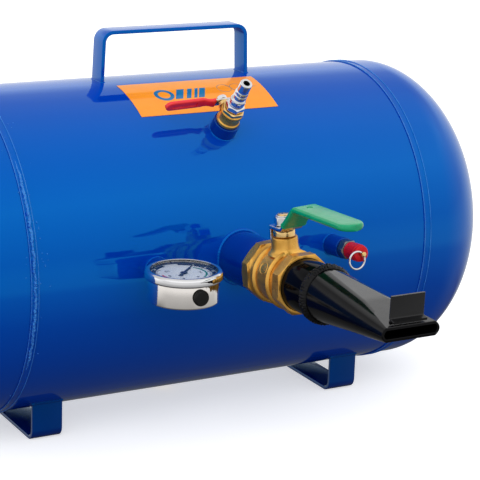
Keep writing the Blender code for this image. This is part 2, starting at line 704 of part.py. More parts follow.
def fill_valve(frame, pivot):
    bung = [(0.0105, 0.1185), (0.0105, 0.1375), (0.0068, 0.1375), (0.0068, 0.1185)]
    piece("fill_bung", turned(bung, 20), BLUE_PAINT, frame)
    fill_body(frame)
    fill_nipple(frame)
    fill_trim(frame, pivot)
    fill_lever(pivot)


# ---------------------------------------------------------------- pressure gauge
GAUGE_CONNECTION = 0.1355    # back of the gauge's stem, from the tank's axis
DIAL_LEVEL = 0.0095          # top of the dial, from the connection's height
PLUG_DROP = 0.0013           # filling plug, under the connection's height


def gauge_case(upright, hub):
    """Open steel cup with a hole for the stem and one for the filling plug."""
    wall = 0.0010
    inner = CASE_RADIUS - wall
    cup = [(0, CASE_BOTTOM), (CASE_RADIUS - 0.0012, CASE_BOTTOM), (CASE_RADIUS, CASE_BOTTOM + 0.0012),
           (CASE_RADIUS, CASE_TOP), (inner, CASE_TOP), (inner, CASE_BOTTOM + wall),
           (0, CASE_BOTTOM + wall)]
    obj = piece("gauge_case", turned(cup, 32, closed=False), STEEL, upright)
    stem_hole = guide("gauge_stem_cut", rod(0.0044, -0.0300, -0.0200), hub)
    boolean(obj, stem_hole, "DIFFERENCE")
    plug_hole = guide("gauge_plug_cut", rod(0.0043, 0.0200, 0.0300), hub,
                      at(y=-PLUG_DROP))
    boolean(obj, plug_hole, "DIFFERENCE")


def gauge_bezel(upright):
    """Rolled ring that holds the window on the case."""
    low = CASE_TOP - 0.0042
    outer = [(CASE_RADIUS + GAP, low), (BEZEL_RADIUS - 0.0010, low), (BEZEL_RADIUS, low + 0.0012),
             (BEZEL_RADIUS, BEZEL_TOP - 0.0026), (BEZEL_RADIUS - 0.0008, BEZEL_TOP - 0.0008),
             (BEZEL_RADIUS - 0.0026, BEZEL_TOP), (0.0248, BEZEL_TOP - 0.0002)]
    inner = [(0.0248, CASE_TOP + 0.0018), (CASE_RADIUS + GAP, CASE_TOP + 0.0018)]
    piece("gauge_bezel", turned(outer + inner, 32), CHROME, upright)


def gauge_window(upright):
    bm = rod(CASE_RADIUS - 0.0002, CASE_TOP + GAP, CASE_TOP + 0.0015, 32)
    piece("gauge_window", bm, GLASS, upright)


def gauge_dial(upright):
    low = DIAL_LEVEL - 0.0006
    profile = [(0.0012, low), (0.0244, low), (0.0244, DIAL_LEVEL), (0.0012, DIAL_LEVEL)]
    piece("gauge_dial", turned(profile, 32), DIAL_WHITE, upright)


def gauge_needle(spindle):
    """Thin pointer on its spindle; it turns clockwise as the pressure rises."""
    level = DIAL_LEVEL + 0.0007
    hub = [(0, 0.0010), (0.0009, 0.0010), (0.0009, level - 0.0006), (0.0026, level - 0.0004),
           (0.0026, level + 0.0003), (0, level + 0.0005)]
    obj = piece("gauge_needle", turned(hub, 16, closed=False), NEEDLE_BLACK, spindle)
    outline = [(-0.0080, 0.0012), (0.0, 0.0009), (0.0188, 0.0003)]
    rings = []
    for along, half in outline:
        rings.append([(along, -half, level - 0.00015), (along, half, level - 0.00015),
                      (along, half, level + 0.00015), (along, -half, level + 0.00015)])
    hand = guide("needle_hand_add", loft(rings, closed=False), spindle)
    boolean(obj, hand, "UNION")


def gauge_movement(upright):
    """Gear block under the dial; the needle's spindle turns in it."""
    block = piece("gauge_movement", box((0.0150, 0.0100, 0.0034), (0, 0.0010, 0.0017)), BRASS,
                  upright)
    boolean(block, guide("spindle_cut", rod(0.0012, -0.0030, 0.0060, 16), upright), "DIFFERENCE")


def gauge_bourdon(upright):
    """Flattened tube bent round the inside of the case, which uncurls under pressure."""
    radius = 0.0185
    rings = []
    count = 19
    for i in range(count):
        angle = math.radians(-235 + 250 * i / (count - 1))
        ring = []
        for k in range(8):
            turn = 2 * math.pi * k / 8
            out = radius + 0.0014 * math.cos(turn)
            ring.append((out * math.cos(angle), out * math.sin(angle), -0.0040 + 0.0030 * math.sin(turn)))
        rings.append(ring)
    piece("gauge_bourdon_tube", loft(rings, closed=False), BRASS, upright)


def gauge_stem(hub):
    """Threaded connection, spanner hexagon and the block that holds the Bourdon tube."""
    back = GAUGE_CONNECTION - GAUGE_REACH
    case_back = -CASE_RADIUS
    thread = [(0.0018, back - 0.0085), (0.0049, back - 0.0085), (0.0049, back + 0.0003),
              (0.0057, back + 0.0003), (0.0057, case_back - 0.0010), (0.0041, case_back - 0.0010),
              (0.0041, case_back + 0.0035), (0.0018, case_back + 0.0035)]
    flats = ((6, back + 0.0003, case_back - 0.0010, 0.0053),)
    piece("gauge_stem", turned(thread, 18, flats=flats), BRASS, hub)


def gauge_plug(hub):
    """Rubber filling plug on the side that faces away from the tank."""
    front = CASE_RADIUS
    profile = [(0, front - 0.0030), (0.0048, front - 0.0030), (0.0048, front - 0.0016),
               (0.0040, front - 0.0016), (0.0040, front + 0.0012), (0.0060, front + 0.0012),
               (0.0057, front + 0.0026), (0.0048, front + 0.0032), (0, front + 0.0032)]
    piece("gauge_plug", turned(profile, 18, closed=False), RUBBER, hub, at(y=-PLUG_DROP))


def gauge(line):
    """line points away from the tank; the gauge lies on its back, dial up."""
    bung = [(0.0095, 0.1185), (0.0095, 0.1352), (0.0052, 0.1352), (0.0052, 0.1185)]
    piece("gauge_bung", turned(bung, 20), BLUE_PAINT, line)
    hub = empty("gauge_hub", at(z=GAUGE_REACH), line)
    upright = empty("gauge_upright", Matrix.Rotation(-math.pi / 2, 4, "X"), hub)
    spindle = empty("gauge_spindle", Matrix.Rotation(math.radians(45), 4, "Z"), upright)
    gauge_case(upright, hub)
    gauge_bezel(upright)
    gauge_window(upright)
    gauge_dial(upright)
    gauge_needle(spindle)
    gauge_movement(upright)
    gauge_bourdon(upright)
    gauge_stem(hub)
    gauge_plug(hub)


# ---------------------------------------------------------------- safety valve
def safety_body(frame):
    outer = [(0.0045, 0.1360), (0.0045, 0.1458), (0.0066, 0.1458), (0.0072, 0.1464),
             (0.0072, 0.1532), (0.0066, 0.1538), (0.0058, 0.1538), (0.0058, 0.1592)]
    inner = [(0.0043, 0.1592), (0.0043, 0.1468), (0.0020, 0.1468), (0.0020, 0.1360)]
    flats = ((6, 0.1462, 0.1534, 0.0070),)
    piece("safety_body", turned(outer + inner, 18, flats=flats), STEEL, frame)


def safety_cap(frame):
    """Knurled cap that sets the spring; the pull stem comes out through its end."""
    outer = [(0.0064, 0.1542), (0.0068, 0.1548), (0.0068, 0.1667), (0.0056, 0.1695)]
    inner = [(0.0017, 0.1695), (0.0017, 0.1669), (0.0047, 0.1669), (0.0047, 0.1598),
             (0.0061, 0.1596), (0.0061, 0.1542)]
    piece("safety_cap", turned(outer + inner, 18), RED_ANODISED, frame)


def safety_spring(frame):
    """Coil spring between the poppet's flange and the end of the cap."""
    low = 0.1508
    high = 0.1663
    turns = 5
    steps = turns * 12
    wire = 0.0005
    coil = 0.0034
    rings = []
    for i in range(steps + 1):
        angle = 2 * math.pi * turns * i / steps
        height = low + wire + (high - low - 2 * wire) * i / steps
        ring = []
        for k in range(5):
            turn = 2 * math.pi * k / 5
            out = coil + wire * math.cos(turn)
            ring.append((out * math.cos(angle), out * math.sin(angle), height + wire * math.sin(turn)))
        rings.append(ring)
    piece("safety_spring", loft(rings, closed=False), STEEL, frame)


def safety_stem(slide):
    """Poppet, rod and the eye that carries the pull ring."""
    profile = [(0, 0.1471), (0.0038, 0.1471), (0.0040, 0.1478), (0.0040, 0.1500), (0.0013, 0.1500),
               (0.0013, 0.1695), (0.0021, 0.1699), (0.0021, 0.1731), (0.0014, 0.1739), (0, 0.1739)]
    obj = piece("safety_stem", turned(profile, 20, closed=False), BRASS, slide)
    eye = guide("ring_eye_cut", rod(RING_WIRE + 0.0004, -0.0060, 0.0060, 16), slide,
                at(z=EYE_REACH) @ Matrix.Rotation(RING_ROLL, 4, "Z") @ TURN_ALONG_X)
    boolean(obj, eye, "DIFFERENCE")


def pull_ring(swing):
    """Wire ring that hangs from the eye of the stem."""
    rings = []
    steps = 28
    for i in range(steps):
        angle = 2 * math.pi * i / steps
        ring = []
        for k in range(8):
            turn = 2 * math.pi * k / 8
            out = RING_RADIUS + RING_WIRE * math.cos(turn)
            ring.append((out * math.cos(angle), out * math.sin(angle) - RING_RADIUS,
                         RING_WIRE * math.sin(turn)))
        rings.append(ring)
    piece("pull_ring", loft(rings, closed=True), CHROME, swing)


def safety_valve(frame):
    bung = [(0.0082, 0.1185), (0.0082, 0.1455), (0.0048, 0.1455), (0.0048, 0.1185)]
    piece("safety_bung", turned(bung, 20), BLUE_PAINT, frame)
    safety_body(frame)
    safety_cap(frame)
    safety_spring(frame)
    slide = empty("safety_slide", Matrix(), frame)
    safety_stem(slide)
    swing = empty("ring_swing", at(z=EYE_REACH) @ Matrix.Rotation(RING_ROLL, 4, "Z"), slide)
    pull_ring(swing)


# ---------------------------------------------------------------- assembly
def main():
    clear_scene()
    axis = empty("tank_axis", at(y=AXIS_Y, z=AXIS_HEIGHT))
    shell = tank(axis)
    outlet = empty("outlet_line", fitting_frame(OUTLET_X, OUTLET_RISE, OUTLET_TILT, OUTLET_ROLL))
    bore = empty("nozzle_line", Matrix.Rotation(-OUTLET_ROLL, 4, "Z"), outlet)
    main_pivot = empty("main_lever_pivot", at(z=STEM_REACH), outlet)
    main_valve(outlet, main_pivot)
    nozzle(bore)
    fill = empty("fill_line", fitting_frame(FILL_X, 0.0, FILL_TILT, FILL_ROLL))
    fill_pivot = empty("fill_lever_pivot", at(z=FILL_STEM_REACH), fill)
    fill_valve(fill, fill_pivot)
    gauge_line = empty("gauge_line", fitting_frame(GAUGE_X, GAUGE_RISE, 0.0, 0.0))
    gauge(gauge_line)
    safety = empty("safety_line", fitting_frame(SAFETY_X, 0.0, SAFETY_TILT, 0.0))
    safety_valve(safety)
    port(shell, outlet, "main_port_cut", PIPE_RADIUS + 0.0006)
    port(shell, fill, "fill_port_cut", 0.0105)
    port(shell, gauge_line, "gauge_port_cut", 0.0095)
    port(shell, safety, "safety_port_cut", 0.0082)


main()
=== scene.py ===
"""Looks of a portable air receiver tank with a blast nozzle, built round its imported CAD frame.

Units are metres, only profiles given through mm() are in millimetres. +Z is up, +X runs along
the tank and the nozzle points to -Y.
Every fitting is built in its own frame: local +Z points away from the tank, local +Y points up,
and z = 0 is on the tank's axis.
"""
import random
from math import asin, cos, degrees, exp, hypot, pi, radians, sin, sqrt, tan

import bmesh
import bpy
from mathutils import Matrix, Vector, noise

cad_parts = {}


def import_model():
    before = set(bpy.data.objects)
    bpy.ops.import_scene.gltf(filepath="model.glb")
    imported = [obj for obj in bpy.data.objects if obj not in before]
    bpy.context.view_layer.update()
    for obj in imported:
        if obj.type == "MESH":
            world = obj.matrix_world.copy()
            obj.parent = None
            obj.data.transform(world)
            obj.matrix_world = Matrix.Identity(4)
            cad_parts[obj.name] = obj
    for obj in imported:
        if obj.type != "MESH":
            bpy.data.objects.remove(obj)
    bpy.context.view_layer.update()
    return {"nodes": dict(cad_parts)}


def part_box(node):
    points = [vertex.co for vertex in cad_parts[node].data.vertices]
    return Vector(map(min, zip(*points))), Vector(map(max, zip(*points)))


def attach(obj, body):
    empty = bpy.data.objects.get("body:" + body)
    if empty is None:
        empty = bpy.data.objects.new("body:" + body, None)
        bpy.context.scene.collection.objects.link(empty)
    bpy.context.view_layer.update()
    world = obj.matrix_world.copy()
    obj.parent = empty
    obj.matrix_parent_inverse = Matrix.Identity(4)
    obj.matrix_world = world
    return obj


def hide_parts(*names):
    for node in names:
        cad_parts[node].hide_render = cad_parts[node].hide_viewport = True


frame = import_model()

# ---- sizes shared with the CAD
SHELL_LOW, SHELL_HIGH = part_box("tank_shell")
AXIS_Y = (SHELL_LOW.y + SHELL_HIGH.y) / 2
AXIS_HEIGHT = (SHELL_LOW.z + SHELL_HIGH.z) / 2
TANK_RADIUS = (SHELL_HIGH.z - SHELL_LOW.z) / 2
TANK_WALL = 0.003
SEAM_X, SEAM_GAP = 0.1706, 0.00015
HEAD_SKIRT = 0.0187
HEAD_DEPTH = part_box("head_right")[1].x - SEAM_X - HEAD_SKIRT
AXIS = Vector((0, AXIS_Y, AXIS_HEIGHT))
VALVE_CENTRE, FILL_CENTRE, GAUGE_CENTRE = 0.193, 0.144, 0.17


def at(x=0.0, y=0.0, z=0.0):
    return Matrix.Translation((x, y, z))


def spin(turn, axis):
    return Matrix.Rotation(radians(turn), 4, axis)


def fitting_frame(x, rise, tilt, roll):
    """Frame of a fitting that leaves the tank forwards; angles in degrees."""
    return at(x, AXIS_Y, AXIS_HEIGHT + rise) @ spin(90 - tilt, "X") @ spin(roll, "Z")


TANK = at(0, AXIS_Y, AXIS_HEIGHT)
OUTLET = fitting_frame(-0.0005, 0.0033, 2.8, 4.0)
NOZZLE = fitting_frame(-0.0005, 0.0033, 2.8, 0.0)
FILL = fitting_frame(0.005, 0.0, 51.0, 3.0)
GAUGE = fitting_frame(-0.073, 0.008, 0.0, 0.0)
SAFETY = fitting_frame(0.08, 0.0, 5.0, 0.0)
DRAIN = TANK @ spin(180, "X")

TURN_ALONG_X = spin(90, "Y")
MAIN_PIVOT = OUTLET @ at(z=VALVE_CENTRE)
FILL_PIVOT = FILL @ at(z=FILL_CENTRE)
MAIN_UP = MAIN_PIVOT @ spin(-90, "X")
FILL_UP = FILL_PIVOT @ spin(-90, "X")
# a flat bar's own (along, across, height), laid along the pipe or across it
MAIN_STRAP = MAIN_PIVOT @ Matrix(((0, 1, 0), (0, 0, 1), (1, 0, 0))).to_4x4()
FILL_STRAP = FILL_PIVOT @ Matrix(((-1, 0, 0), (0, 0, 1), (0, 1, 0))).to_4x4()
HOOK_STRAP = NOZZLE @ Matrix(((0, 1, 0), (0, 0, 1), (1, 0, 0))).to_4x4()


# ---- materials
def set_inputs(made, **values):
    """Set inputs by name; another node's output is linked."""
    for name, value in values.items():
        socket = made.inputs[name.replace("_", " ")]
        if isinstance(value, bpy.types.NodeSocket):
            made.id_data.links.new(value, socket)
        else:
            socket.default_value = value


def node(tree, kind, output, **values):
    """New shader node, as the output of that name."""
    made = tree.nodes.new(kind)
    set_inputs(made, **values)
    return made.outputs[output]


def noise_on(tree, scale, detail=4.0, stretch=(1, 1, 1)):
    """Noise over the piece's own coordinates, in metres."""
    where = node(tree, "ShaderNodeTexCoord", "Object")
    place = node(tree, "ShaderNodeMapping", "Vector", Vector=where, Scale=stretch)
    return node(tree, "ShaderNodeTexNoise", "Fac", Vector=place, Scale=scale, Detail=detail)


def graded(tree, source, stops):
    """Colour ramp over (position, colour) stops."""
    colour = node(tree, "ShaderNodeValToRGB", "Color", Fac=source)
    elements = colour.node.color_ramp.elements
    for i, (position, shade) in enumerate(stops):
        stop = elements[i] if i < 2 else elements.new(position)
        stop.position = position
        stop.color = (*shade, 1)
    return colour


def spread(tree, source, low, high, start=0.3, end=0.7):
    """Map a value to a range of numbers or between two colours."""
    if isinstance(low, tuple):
        return graded(tree, source, ((start, low), (end, high)))
    return node(tree, "ShaderNodeMapRange", "Result", Value=source, From_Min=start, From_Max=end,
                To_Min=low, To_Max=high)


SLOT_OF = {}        # material name: slot of the pieces it is on


def new_material(name, slot):
    mat = bpy.data.materials.new(name)
    mat.use_nodes = True
    SLOT_OF[mat.name] = slot
    return mat, mat.node_tree, mat.node_tree.nodes["Principled BSDF"]


def finish(name, slot, dark, light, roughness, patch, *bumps, metal=0, shine=0.5, index=1.5,
           tint=(1, 1, 1)):
    """A Principled material: two colours mixed by noise, a roughness range and layers of bump.

    Each bump is (scale, height in metres) and may end with a stretch along x, y and z. The index
    says how strong the mirror image in the paint is, the tint gives it a colour.
    """
    mat, tree, shader = new_material(name, slot)
    set_inputs(shader, Base_Color=spread(tree, noise_on(tree, patch), dark, light), Metallic=metal,
               Roughness=spread(tree, noise_on(tree, patch * 3.1), *roughness), IOR=index,
               Specular_IOR_Level=shine, Specular_Tint=(*tint, 1))
    below = {}
    for scale, height, *stretch in bumps:
        grain = noise_on(tree, scale, 3.0, stretch or (1, 1, 1))
        below = {"Normal": node(tree, "ShaderNodeBump", "Normal", Height=grain, Strength=1.0,
                                Distance=height, **below)}
    set_inputs(shader, **below)
    return mat


BLUE = finish("blue_enamel", "blue_paint", (0, 0.038, 0.4), (0, 0.042, 0.43), (0.03, 0.06), 7,
              (30, 0.00008), (160, 0.000006), index=2.4, tint=(0.014, 0.46, 0.708))
BLUE_BAR = finish("blue_enamel_on_bars", "blue_paint", (0, 0.036, 0.38), (0, 0.042, 0.43),
                  (0.06, 0.12), 30, (60, 0.00005), index=2.06, tint=(0.02, 0.65, 1))
BLUE_DEEP = finish("blue_enamel_in_shade", "blue_paint", (0, 0.018, 0.23), (0, 0.024, 0.27),
                   (0.08, 0.14), 30, (60, 0.00005), index=1.9, tint=(0.08, 0.45, 0.8))
# darker blue for the feet and their welds: painted shade, standing in for the shade under the tank
BLUE_FOOT_PAINTED_SHADE = finish("blue_enamel_painted_shade_on_feet", "blue_paint", (0, 0.012, 0.145), (0, 0.016, 0.175),
                   (0.08, 0.14), 30, (60, 0.00005), index=1.9, tint=(0.004, 0.32, 0.56))
# lighter blue for the seam ridges, the closing pass and the spatter: painted glints, standing in for
# their highlights
BLUE_PAINTED_GLINT = finish("blue_enamel_painted_glint", "blue_paint", (0.01, 0.11, 0.56), (0.04, 0.18, 0.66),
                    (0.05, 0.12), 90, (420, 0.0003), index=2.2, tint=(0.2, 0.78, 1))
BLACK = finish("black_enamel", "black_paint", (0.001, 0.001, 0.0015), (0.002, 0.002, 0.003),
               (0.05, 0.1), 25, (45, 0.0001), (300, 0.000006), shine=0.05)
BLACK_BILL = finish("black_enamel_on_bill", "black_paint", (0.001, 0.001, 0.0015),
                    (0.002, 0.002, 0.003), (0.12, 0.18), 25, (45, 0.0001), (300, 0.000006))
BLACK_HOOK = finish("black_enamel_on_hook", "black_paint", (0.003, 0.003, 0.0035),
                    (0.006, 0.006, 0.007), (0.2, 0.3), 25, (45, 0.0001), shine=0.34)
BLACK_WELD = finish("black_enamel_on_weld", "black_paint", (0.003, 0.003, 0.004),
                    (0.006, 0.006, 0.007), (0.1, 0.22), 120, (600, 0.0004), shine=0.18)
BRASS_CAST = finish("brass_cast", "brass", (0.6, 0.29, 0.045), (0.95, 0.54, 0.12), (0.25, 0.4), 75,
                    (1400, 0.00003), (200, 0.00005), metal=0.87)
BRASS_TURNED = finish("brass_turned", "brass", (0.82, 0.54, 0.21), (0.9, 0.62, 0.27), (0.14, 0.26),
                      150, (900, 0.00002, 1, 1, 4), metal=1)
CHROME = finish("chrome_plate", "chrome", (0.72, 0.72, 0.74), (0.8, 0.8, 0.81), (0.04, 0.09), 60,
                (160, 0.00002), metal=1)
STEEL = finish("polished_steel", "steel", (0.94, 0.895, 0.85), (0.99, 0.945, 0.9), (0.04, 0.09), 60,
               (50, 0.00006), (500, 0.000006, 1, 1, 6), metal=1)
ZINC = finish("dark_zinc_plate", "steel", (0.16, 0.155, 0.15), (0.26, 0.255, 0.25), (0.25, 0.38),
              200, (900, 0.00004), metal=1)
GREEN = finish("green_vinyl", "green_sleeve", (0, 0.29, 0.118), (0.002, 0.35, 0.155), (0.18, 0.28),
               60, (120, 0.00008), (900, 0.000008), shine=0.4)
RED = finish("red_vinyl", "red_sleeve", (0.8, 0.012, 0.017), (0.9, 0.02, 0.026), (0.16, 0.26), 90,
             (140, 0.00007), shine=0.6)
RED_METAL = finish("red_anodised", "red_anodised", (0.52, 0.002, 0.008), (0.66, 0.005, 0.014),
                   (0.16, 0.28), 200, (800, 0.00003), metal=0.25, shine=0.3)
PAPER = finish("orange_vinyl_film", "orange_label", (0.9, 0.28, 0.008), (0.96, 0.325, 0.014),
               (0.06, 0.1), 40, (90, 0.00003))
PRINT_BLUE = finish("blue_ink", "orange_label", (0.004, 0.14, 0.33), (0.008, 0.17, 0.4), (0.12, 0.2),
                    200, (900, 0.00001))
PRINT_GREY = finish("grey_ink", "orange_label", (0.3, 0.2, 0.13), (0.36, 0.24, 0.16), (0.2, 0.3), 200,
                    (900, 0.00001))
RUBBER = finish("black_rubber", "rubber", (0.005, 0.005, 0.005), (0.008, 0.008, 0.008), (0.4, 0.55),
                200, (900, 0.00002), shine=0.2)
GASKET = finish("blued_gasket", "rubber", (0.012, 0.018, 0.035), (0.03, 0.04, 0.07), (0.12, 0.22),
                200, (900, 0.00001), shine=0.6)
DIAL = finish("dial_enamel", "dial_white", (0.66, 0.68, 0.74), (0.74, 0.76, 0.81), (0.35, 0.45), 60,
              (700, 0.000005))
INK, INK_GREEN, INK_RED = (finish(*ink, (0.35, 0.45), 200, (900, 0.000005)) for ink in (
    ("black_ink", "dial_white", (0.006, 0.007, 0.01), (0.012, 0.012, 0.016)),
    ("green_ink", "dial_white", (0, 0.16, 0.11), (0, 0.2, 0.14)),
    ("red_ink", "dial_white", (0.42, 0.008, 0.05), (0.5, 0.012, 0.06))))
PTFE = finish("ptfe", "white", (0.8, 0.8, 0.78), (0.88, 0.88, 0.86), (0.4, 0.55), 200, (600, 0.00003))


def shine_on_top(mat, side, top):
    """Painted sheen: the mirror image is strong on faces that look up and weak on the sides."""
    tree = mat.node_tree
    facing = node(tree, "ShaderNodeNewGeometry", "Normal")
    upwards = node(tree, "ShaderNodeSeparateXYZ", "Z", Vector=facing)
    shine = spread(tree, upwards, side, top, 0.75, 0.95)
    set_inputs(tree.nodes["Principled BSDF"], Specular_IOR_Level=shine)


def window_glass():
    """Thin clear glass: see-through, with a mirror film that grows at low angles."""
    mat, tree, shader = new_material("window_glass", "glass")
    tree.nodes.remove(shader)
    mix = tree.nodes.new("ShaderNodeMixShader")
    slant = node(tree, "ShaderNodeLayerWeight", "Facing", Blend=0.18)
    set_inputs(mix, Fac=spread(tree, slant, 0.02, 0.3, 0.0, 1.0))
    clear = node(tree, "ShaderNodeBsdfTransparent", "BSDF", Color=(0.97, 0.98, 0.98, 1))
    mirror = node(tree, "ShaderNodeBsdfGlossy", "BSDF", Roughness=0.01)
    tree.links.new(clear, mix.inputs[1])
    tree.links.new(mirror, mix.inputs[2])
    set_inputs(tree.nodes["Material Output"], Surface=mix.outputs["Shader"])
    return mat


# the bill's top shines more than its sides: painted sheen
shine_on_top(BLACK_BILL, 0.1, 0.75)
GLASS = window_glass()


# ---- modelling tools
def polar(radius, angle):
    return radius * cos(angle), radius * sin(angle)


def angles(count):
    return [2 * pi * k / count for k in range(count)]


def mm(*numbers):
    """Profile of (radius, height) points from numbers in millimetres."""
    return [(radius / 1000, height / 1000) for radius, height in zip(numbers[::2], numbers[1::2])]


def tube(inner, outer, low, high):
    """Profile of a plain tube, or of a disc where inner is 0."""
    return [(inner, low), (outer, low), (outer, high), (inner, high)]


def wobble(place, scale, seed=0.0):
    return noise.noise(Vector(place) * scale + Vector((seed, seed * 1.7, -seed)))


def new_object(name, data):
    obj = bpy.data.objects.new(name, data)
    bpy.context.scene.collection.objects.link(obj)
    return obj


def as_object(name, bm, matrix=Matrix()):
    """Turn a bmesh into an object in the shared frame."""
    bmesh.ops.transform(bm, matrix=matrix, verts=bm.verts)
    bmesh.ops.recalc_face_normals(bm, faces=bm.faces)
    mesh = bpy.data.meshes.new(name)
    bm.to_mesh(mesh)
    bm.free()
    return new_object(name, mesh)


def evaluated_mesh(obj):
    bpy.context.view_layer.update()
    graph = bpy.context.evaluated_depsgraph_get()
    return bpy.data.meshes.new_from_object(obj.evaluated_get(graph))


def smooth(mesh, sharp=35.0):
    mesh.shade_smooth()
    mesh.set_sharp_from_angle(angle=radians(sharp))


def put(name, bm, mat, matrix=Matrix(), *nodes, sharp=35.0, body="tank", slot=None):
    """Turn a bmesh into a piece that rides on a CAD body and stands for the named CAD nodes."""
    obj = as_object(name, bm, matrix)
    obj.data.materials.append(mat)
    smooth(obj.data, sharp)
    slot = slot or SLOT_OF[mat.name]
    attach(obj, body)
    if nodes:
        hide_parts(*nodes)
    return obj


def cut_hole(obj, bm, matrix):
    """Boolean cut that is applied at once, so that no cutter is left in the scene."""
    cutter = as_object("cutter", bm, matrix)
    mod = obj.modifiers.new("cut", "BOOLEAN")
    mod.operation = "DIFFERENCE"
    mod.solver = "EXACT"
    mod.object = cutter
    cut = evaluated_mesh(obj)
    obj.modifiers.clear()
    old = obj.data
    obj.data = cut
    bpy.data.meshes.remove(old)
    bpy.data.objects.remove(cutter)
    smooth(cut)


def drill(obj, radius, low, high, matrix, steps=40):
    """Cut a round hole between two heights."""
    cut_hole(obj, turned(tube(0, radius, low, high), 0, steps), matrix)


def is_closed(profile):
    """A profile that starts and ends on the axis is open; any other one is closed."""
    return profile[0][0] > 0 or profile[-1][0] > 0


def softened(points, radius, count=3):
    """Round the corners of a profile with small arcs."""
    made = []
    last = len(points) - 1
    for i, point in enumerate(points):
        here = Vector(point)
        if i in (0, last) and not is_closed(points):
            made.append(tuple(here))
            continue
        back = Vector(points[i - 1]) - here
        ahead = Vector(points[(i + 1) % len(points)]) - here
        reach = min(radius, back.length * 0.42, ahead.length * 0.42)
        if reach < 1e-6 or back.angle(ahead) > radians(168):
            made.append(tuple(here))
            continue
        start = here + back.normalized() * reach
        end = here + ahead.normalized() * reach
        for k in range(count + 1):
            t = k / count
            made.append(tuple(start * (1 - t) ** 2 + here * 2 * t * (1 - t) + end * t ** 2))
    return made


def revolve(profile, steps=96, shape=None):
    """Turn a profile round local Z; shape(angle, radius, height) may change a radius."""
    bm = bmesh.new()
    shape = shape or (lambda angle, radius, height: radius)
    rows = [[bm.verts.new((*polar(shape(angle, *point), angle), point[1])) for point in profile]
            for angle in angles(steps)]
    count = len(profile) if is_closed(profile) else len(profile) - 1
    for here, there in zip(rows, rows[1:] + rows[:1]):
        for i in range(count):
            j = (i + 1) % len(profile)
            bm.faces.new((here[i], there[i], there[j], here[j]))
    bmesh.ops.remove_doubles(bm, verts=bm.verts, dist=1e-7)
    bmesh.ops.dissolve_degenerate(bm, edges=bm.edges, dist=1e-8)
    return bm


def turned(profile, soft=0.0003, steps=96):
    return revolve(softened(profile, soft), steps)


def loft(rings, closed=False):
    """Skin over rings of points; an open one gets flat ends."""
    bm = bmesh.new()
    columns = [[bm.verts.new(point) for point in ring] for ring in rings]
    pairs = list(zip(columns, columns[1:]))
    if closed:
        pairs.append((columns[-1], columns[0]))
    else:
        bm.faces.new(columns[0])
        bm.faces.new(columns[-1])
    count = len(rings[0])
    for low, high in pairs:
        for i in range(count):
            j = (i + 1) % count
            bm.faces.new((low[i], low[j], high[j], high[i]))
    return bm


def prism_radius(angle, sides, flat, turn=0.0):
    half = pi / sides
    return flat / cos((angle - turn) % (2 * half) - half)


def nut(across, bore, low, high, bevel=0.0008, turn=0.0):
    """Hexagon with both ends turned to a cone, as a real one is."""
    flat = across / 2
    levels = [0.0, 0.15, 0.35, 0.6, 1.0]
    outer = [(flat, low + bevel * t) for t in levels]
    outer += [(flat, high - bevel * t) for t in reversed(levels)]

    def shape(angle, radius, height):
        if radius <= bore + 1e-6:
            return radius
        end = min(height - low, high - height)
        return min(prism_radius(angle, 6, flat, turn), flat * 0.965 + end * 1.75)

    return revolve([(bore, low)] + outer + [(bore, high)], shape=shape)


def rounded_section(half_width, half_height, edge, count=4):
    """Rounded rectangle of (across, up) points, anticlockwise."""
    edge = min(edge, half_width * 0.95, half_height * 0.98)
    points = []
    for cx, cy, start in ((1, 1, 0), (-1, 1, 90), (-1, -1, 180), (1, -1, 270)):
        for k in range(count + 1):
            across, up = polar(edge, radians(start + 90 * k / count))
            points.append((cx * (half_width - edge) + across, cy * (half_height - edge) + up))
    return points


def bar(path, thickness, edge):
    """Flat bar with rounded edges along a path of (along, height, half width) points."""
    points = [Vector((along, height)) for along, height, _ in path]
    rings = []
    for i, (_, _, half_width) in enumerate(path):
        before = points[max(i - 1, 0)]
        after = points[min(i + 1, len(points) - 1)]
        ahead = (points[i] - before).normalized() + (after - points[i]).normalized()
        ahead.normalize()
        slant = (after - points[i]).normalized() if i < len(points) - 1 else ahead
        up = Vector((-ahead.y, ahead.x)) * (1 / max(ahead.dot(slant), 0.5))
        spots = [(points[i] + up * lift, across)
                 for across, lift in rounded_section(half_width, thickness / 2, edge)]
        rings.append([(spot.x, across, spot.y) for spot, across in spots])
    return loft(rings)


def bent(corners, radius, half_width, count=9):
    """Round the corners of a bar's path: corners are (along, height) points."""
    path = [(*corners[0], half_width)]
    for before, corner, after in zip(corners, corners[1:], corners[2:]):
        here = Vector(corner)
        back = (Vector(before) - here).normalized()
        ahead = (Vector(after) - here).normalized()
        half = back.angle(ahead) / 2
        centre = here + (back + ahead).normalized() * radius / sin(half)
        start = here + back * radius / tan(half) - centre
        end = here + ahead * radius / tan(half) - centre
        sweep = start.angle_signed(end)
        for i in range(count):
            spoke = start.copy()
            spoke.rotate(Matrix.Rotation(-sweep * i / (count - 1), 2))
            path.append((*(centre + spoke), half_width))
    path.append((*corners[-1], half_width))
    return path


def round_end(path, count=10):
    """Replace a path's square end by a half-round one, seen from above."""
    along, height, half_width = path[-1]
    tip = Vector((along, height))
    ahead = (tip - Vector(path[-2][:2])).normalized()
    centre = tip - ahead * half_width
    path = [p for p in path if (tip - Vector(p[:2])).length > half_width * 1.02]
    for i in range(count):
        angle = radians(84) * i / (count - 1)
        path.append((*(centre + ahead * half_width * sin(angle)), half_width * cos(angle)))
    return path


def eased(path, spacing=0.004):
    """Add points along the straight runs of a path."""
    made = [path[0]]
    for a, b in zip(path, path[1:]):
        steps = max(1, int(hypot(b[0] - a[0], b[1] - a[1]) / spacing))
        for k in range(1, steps + 1):
            made.append(tuple(a[i] + (b[i] - a[i]) * k / steps for i in range(3)))
    return made


def round_ring(centre, size, first, second, count=10):
    return [centre + size * (first * cos(a) + second * sin(a)) for a in angles(count)]


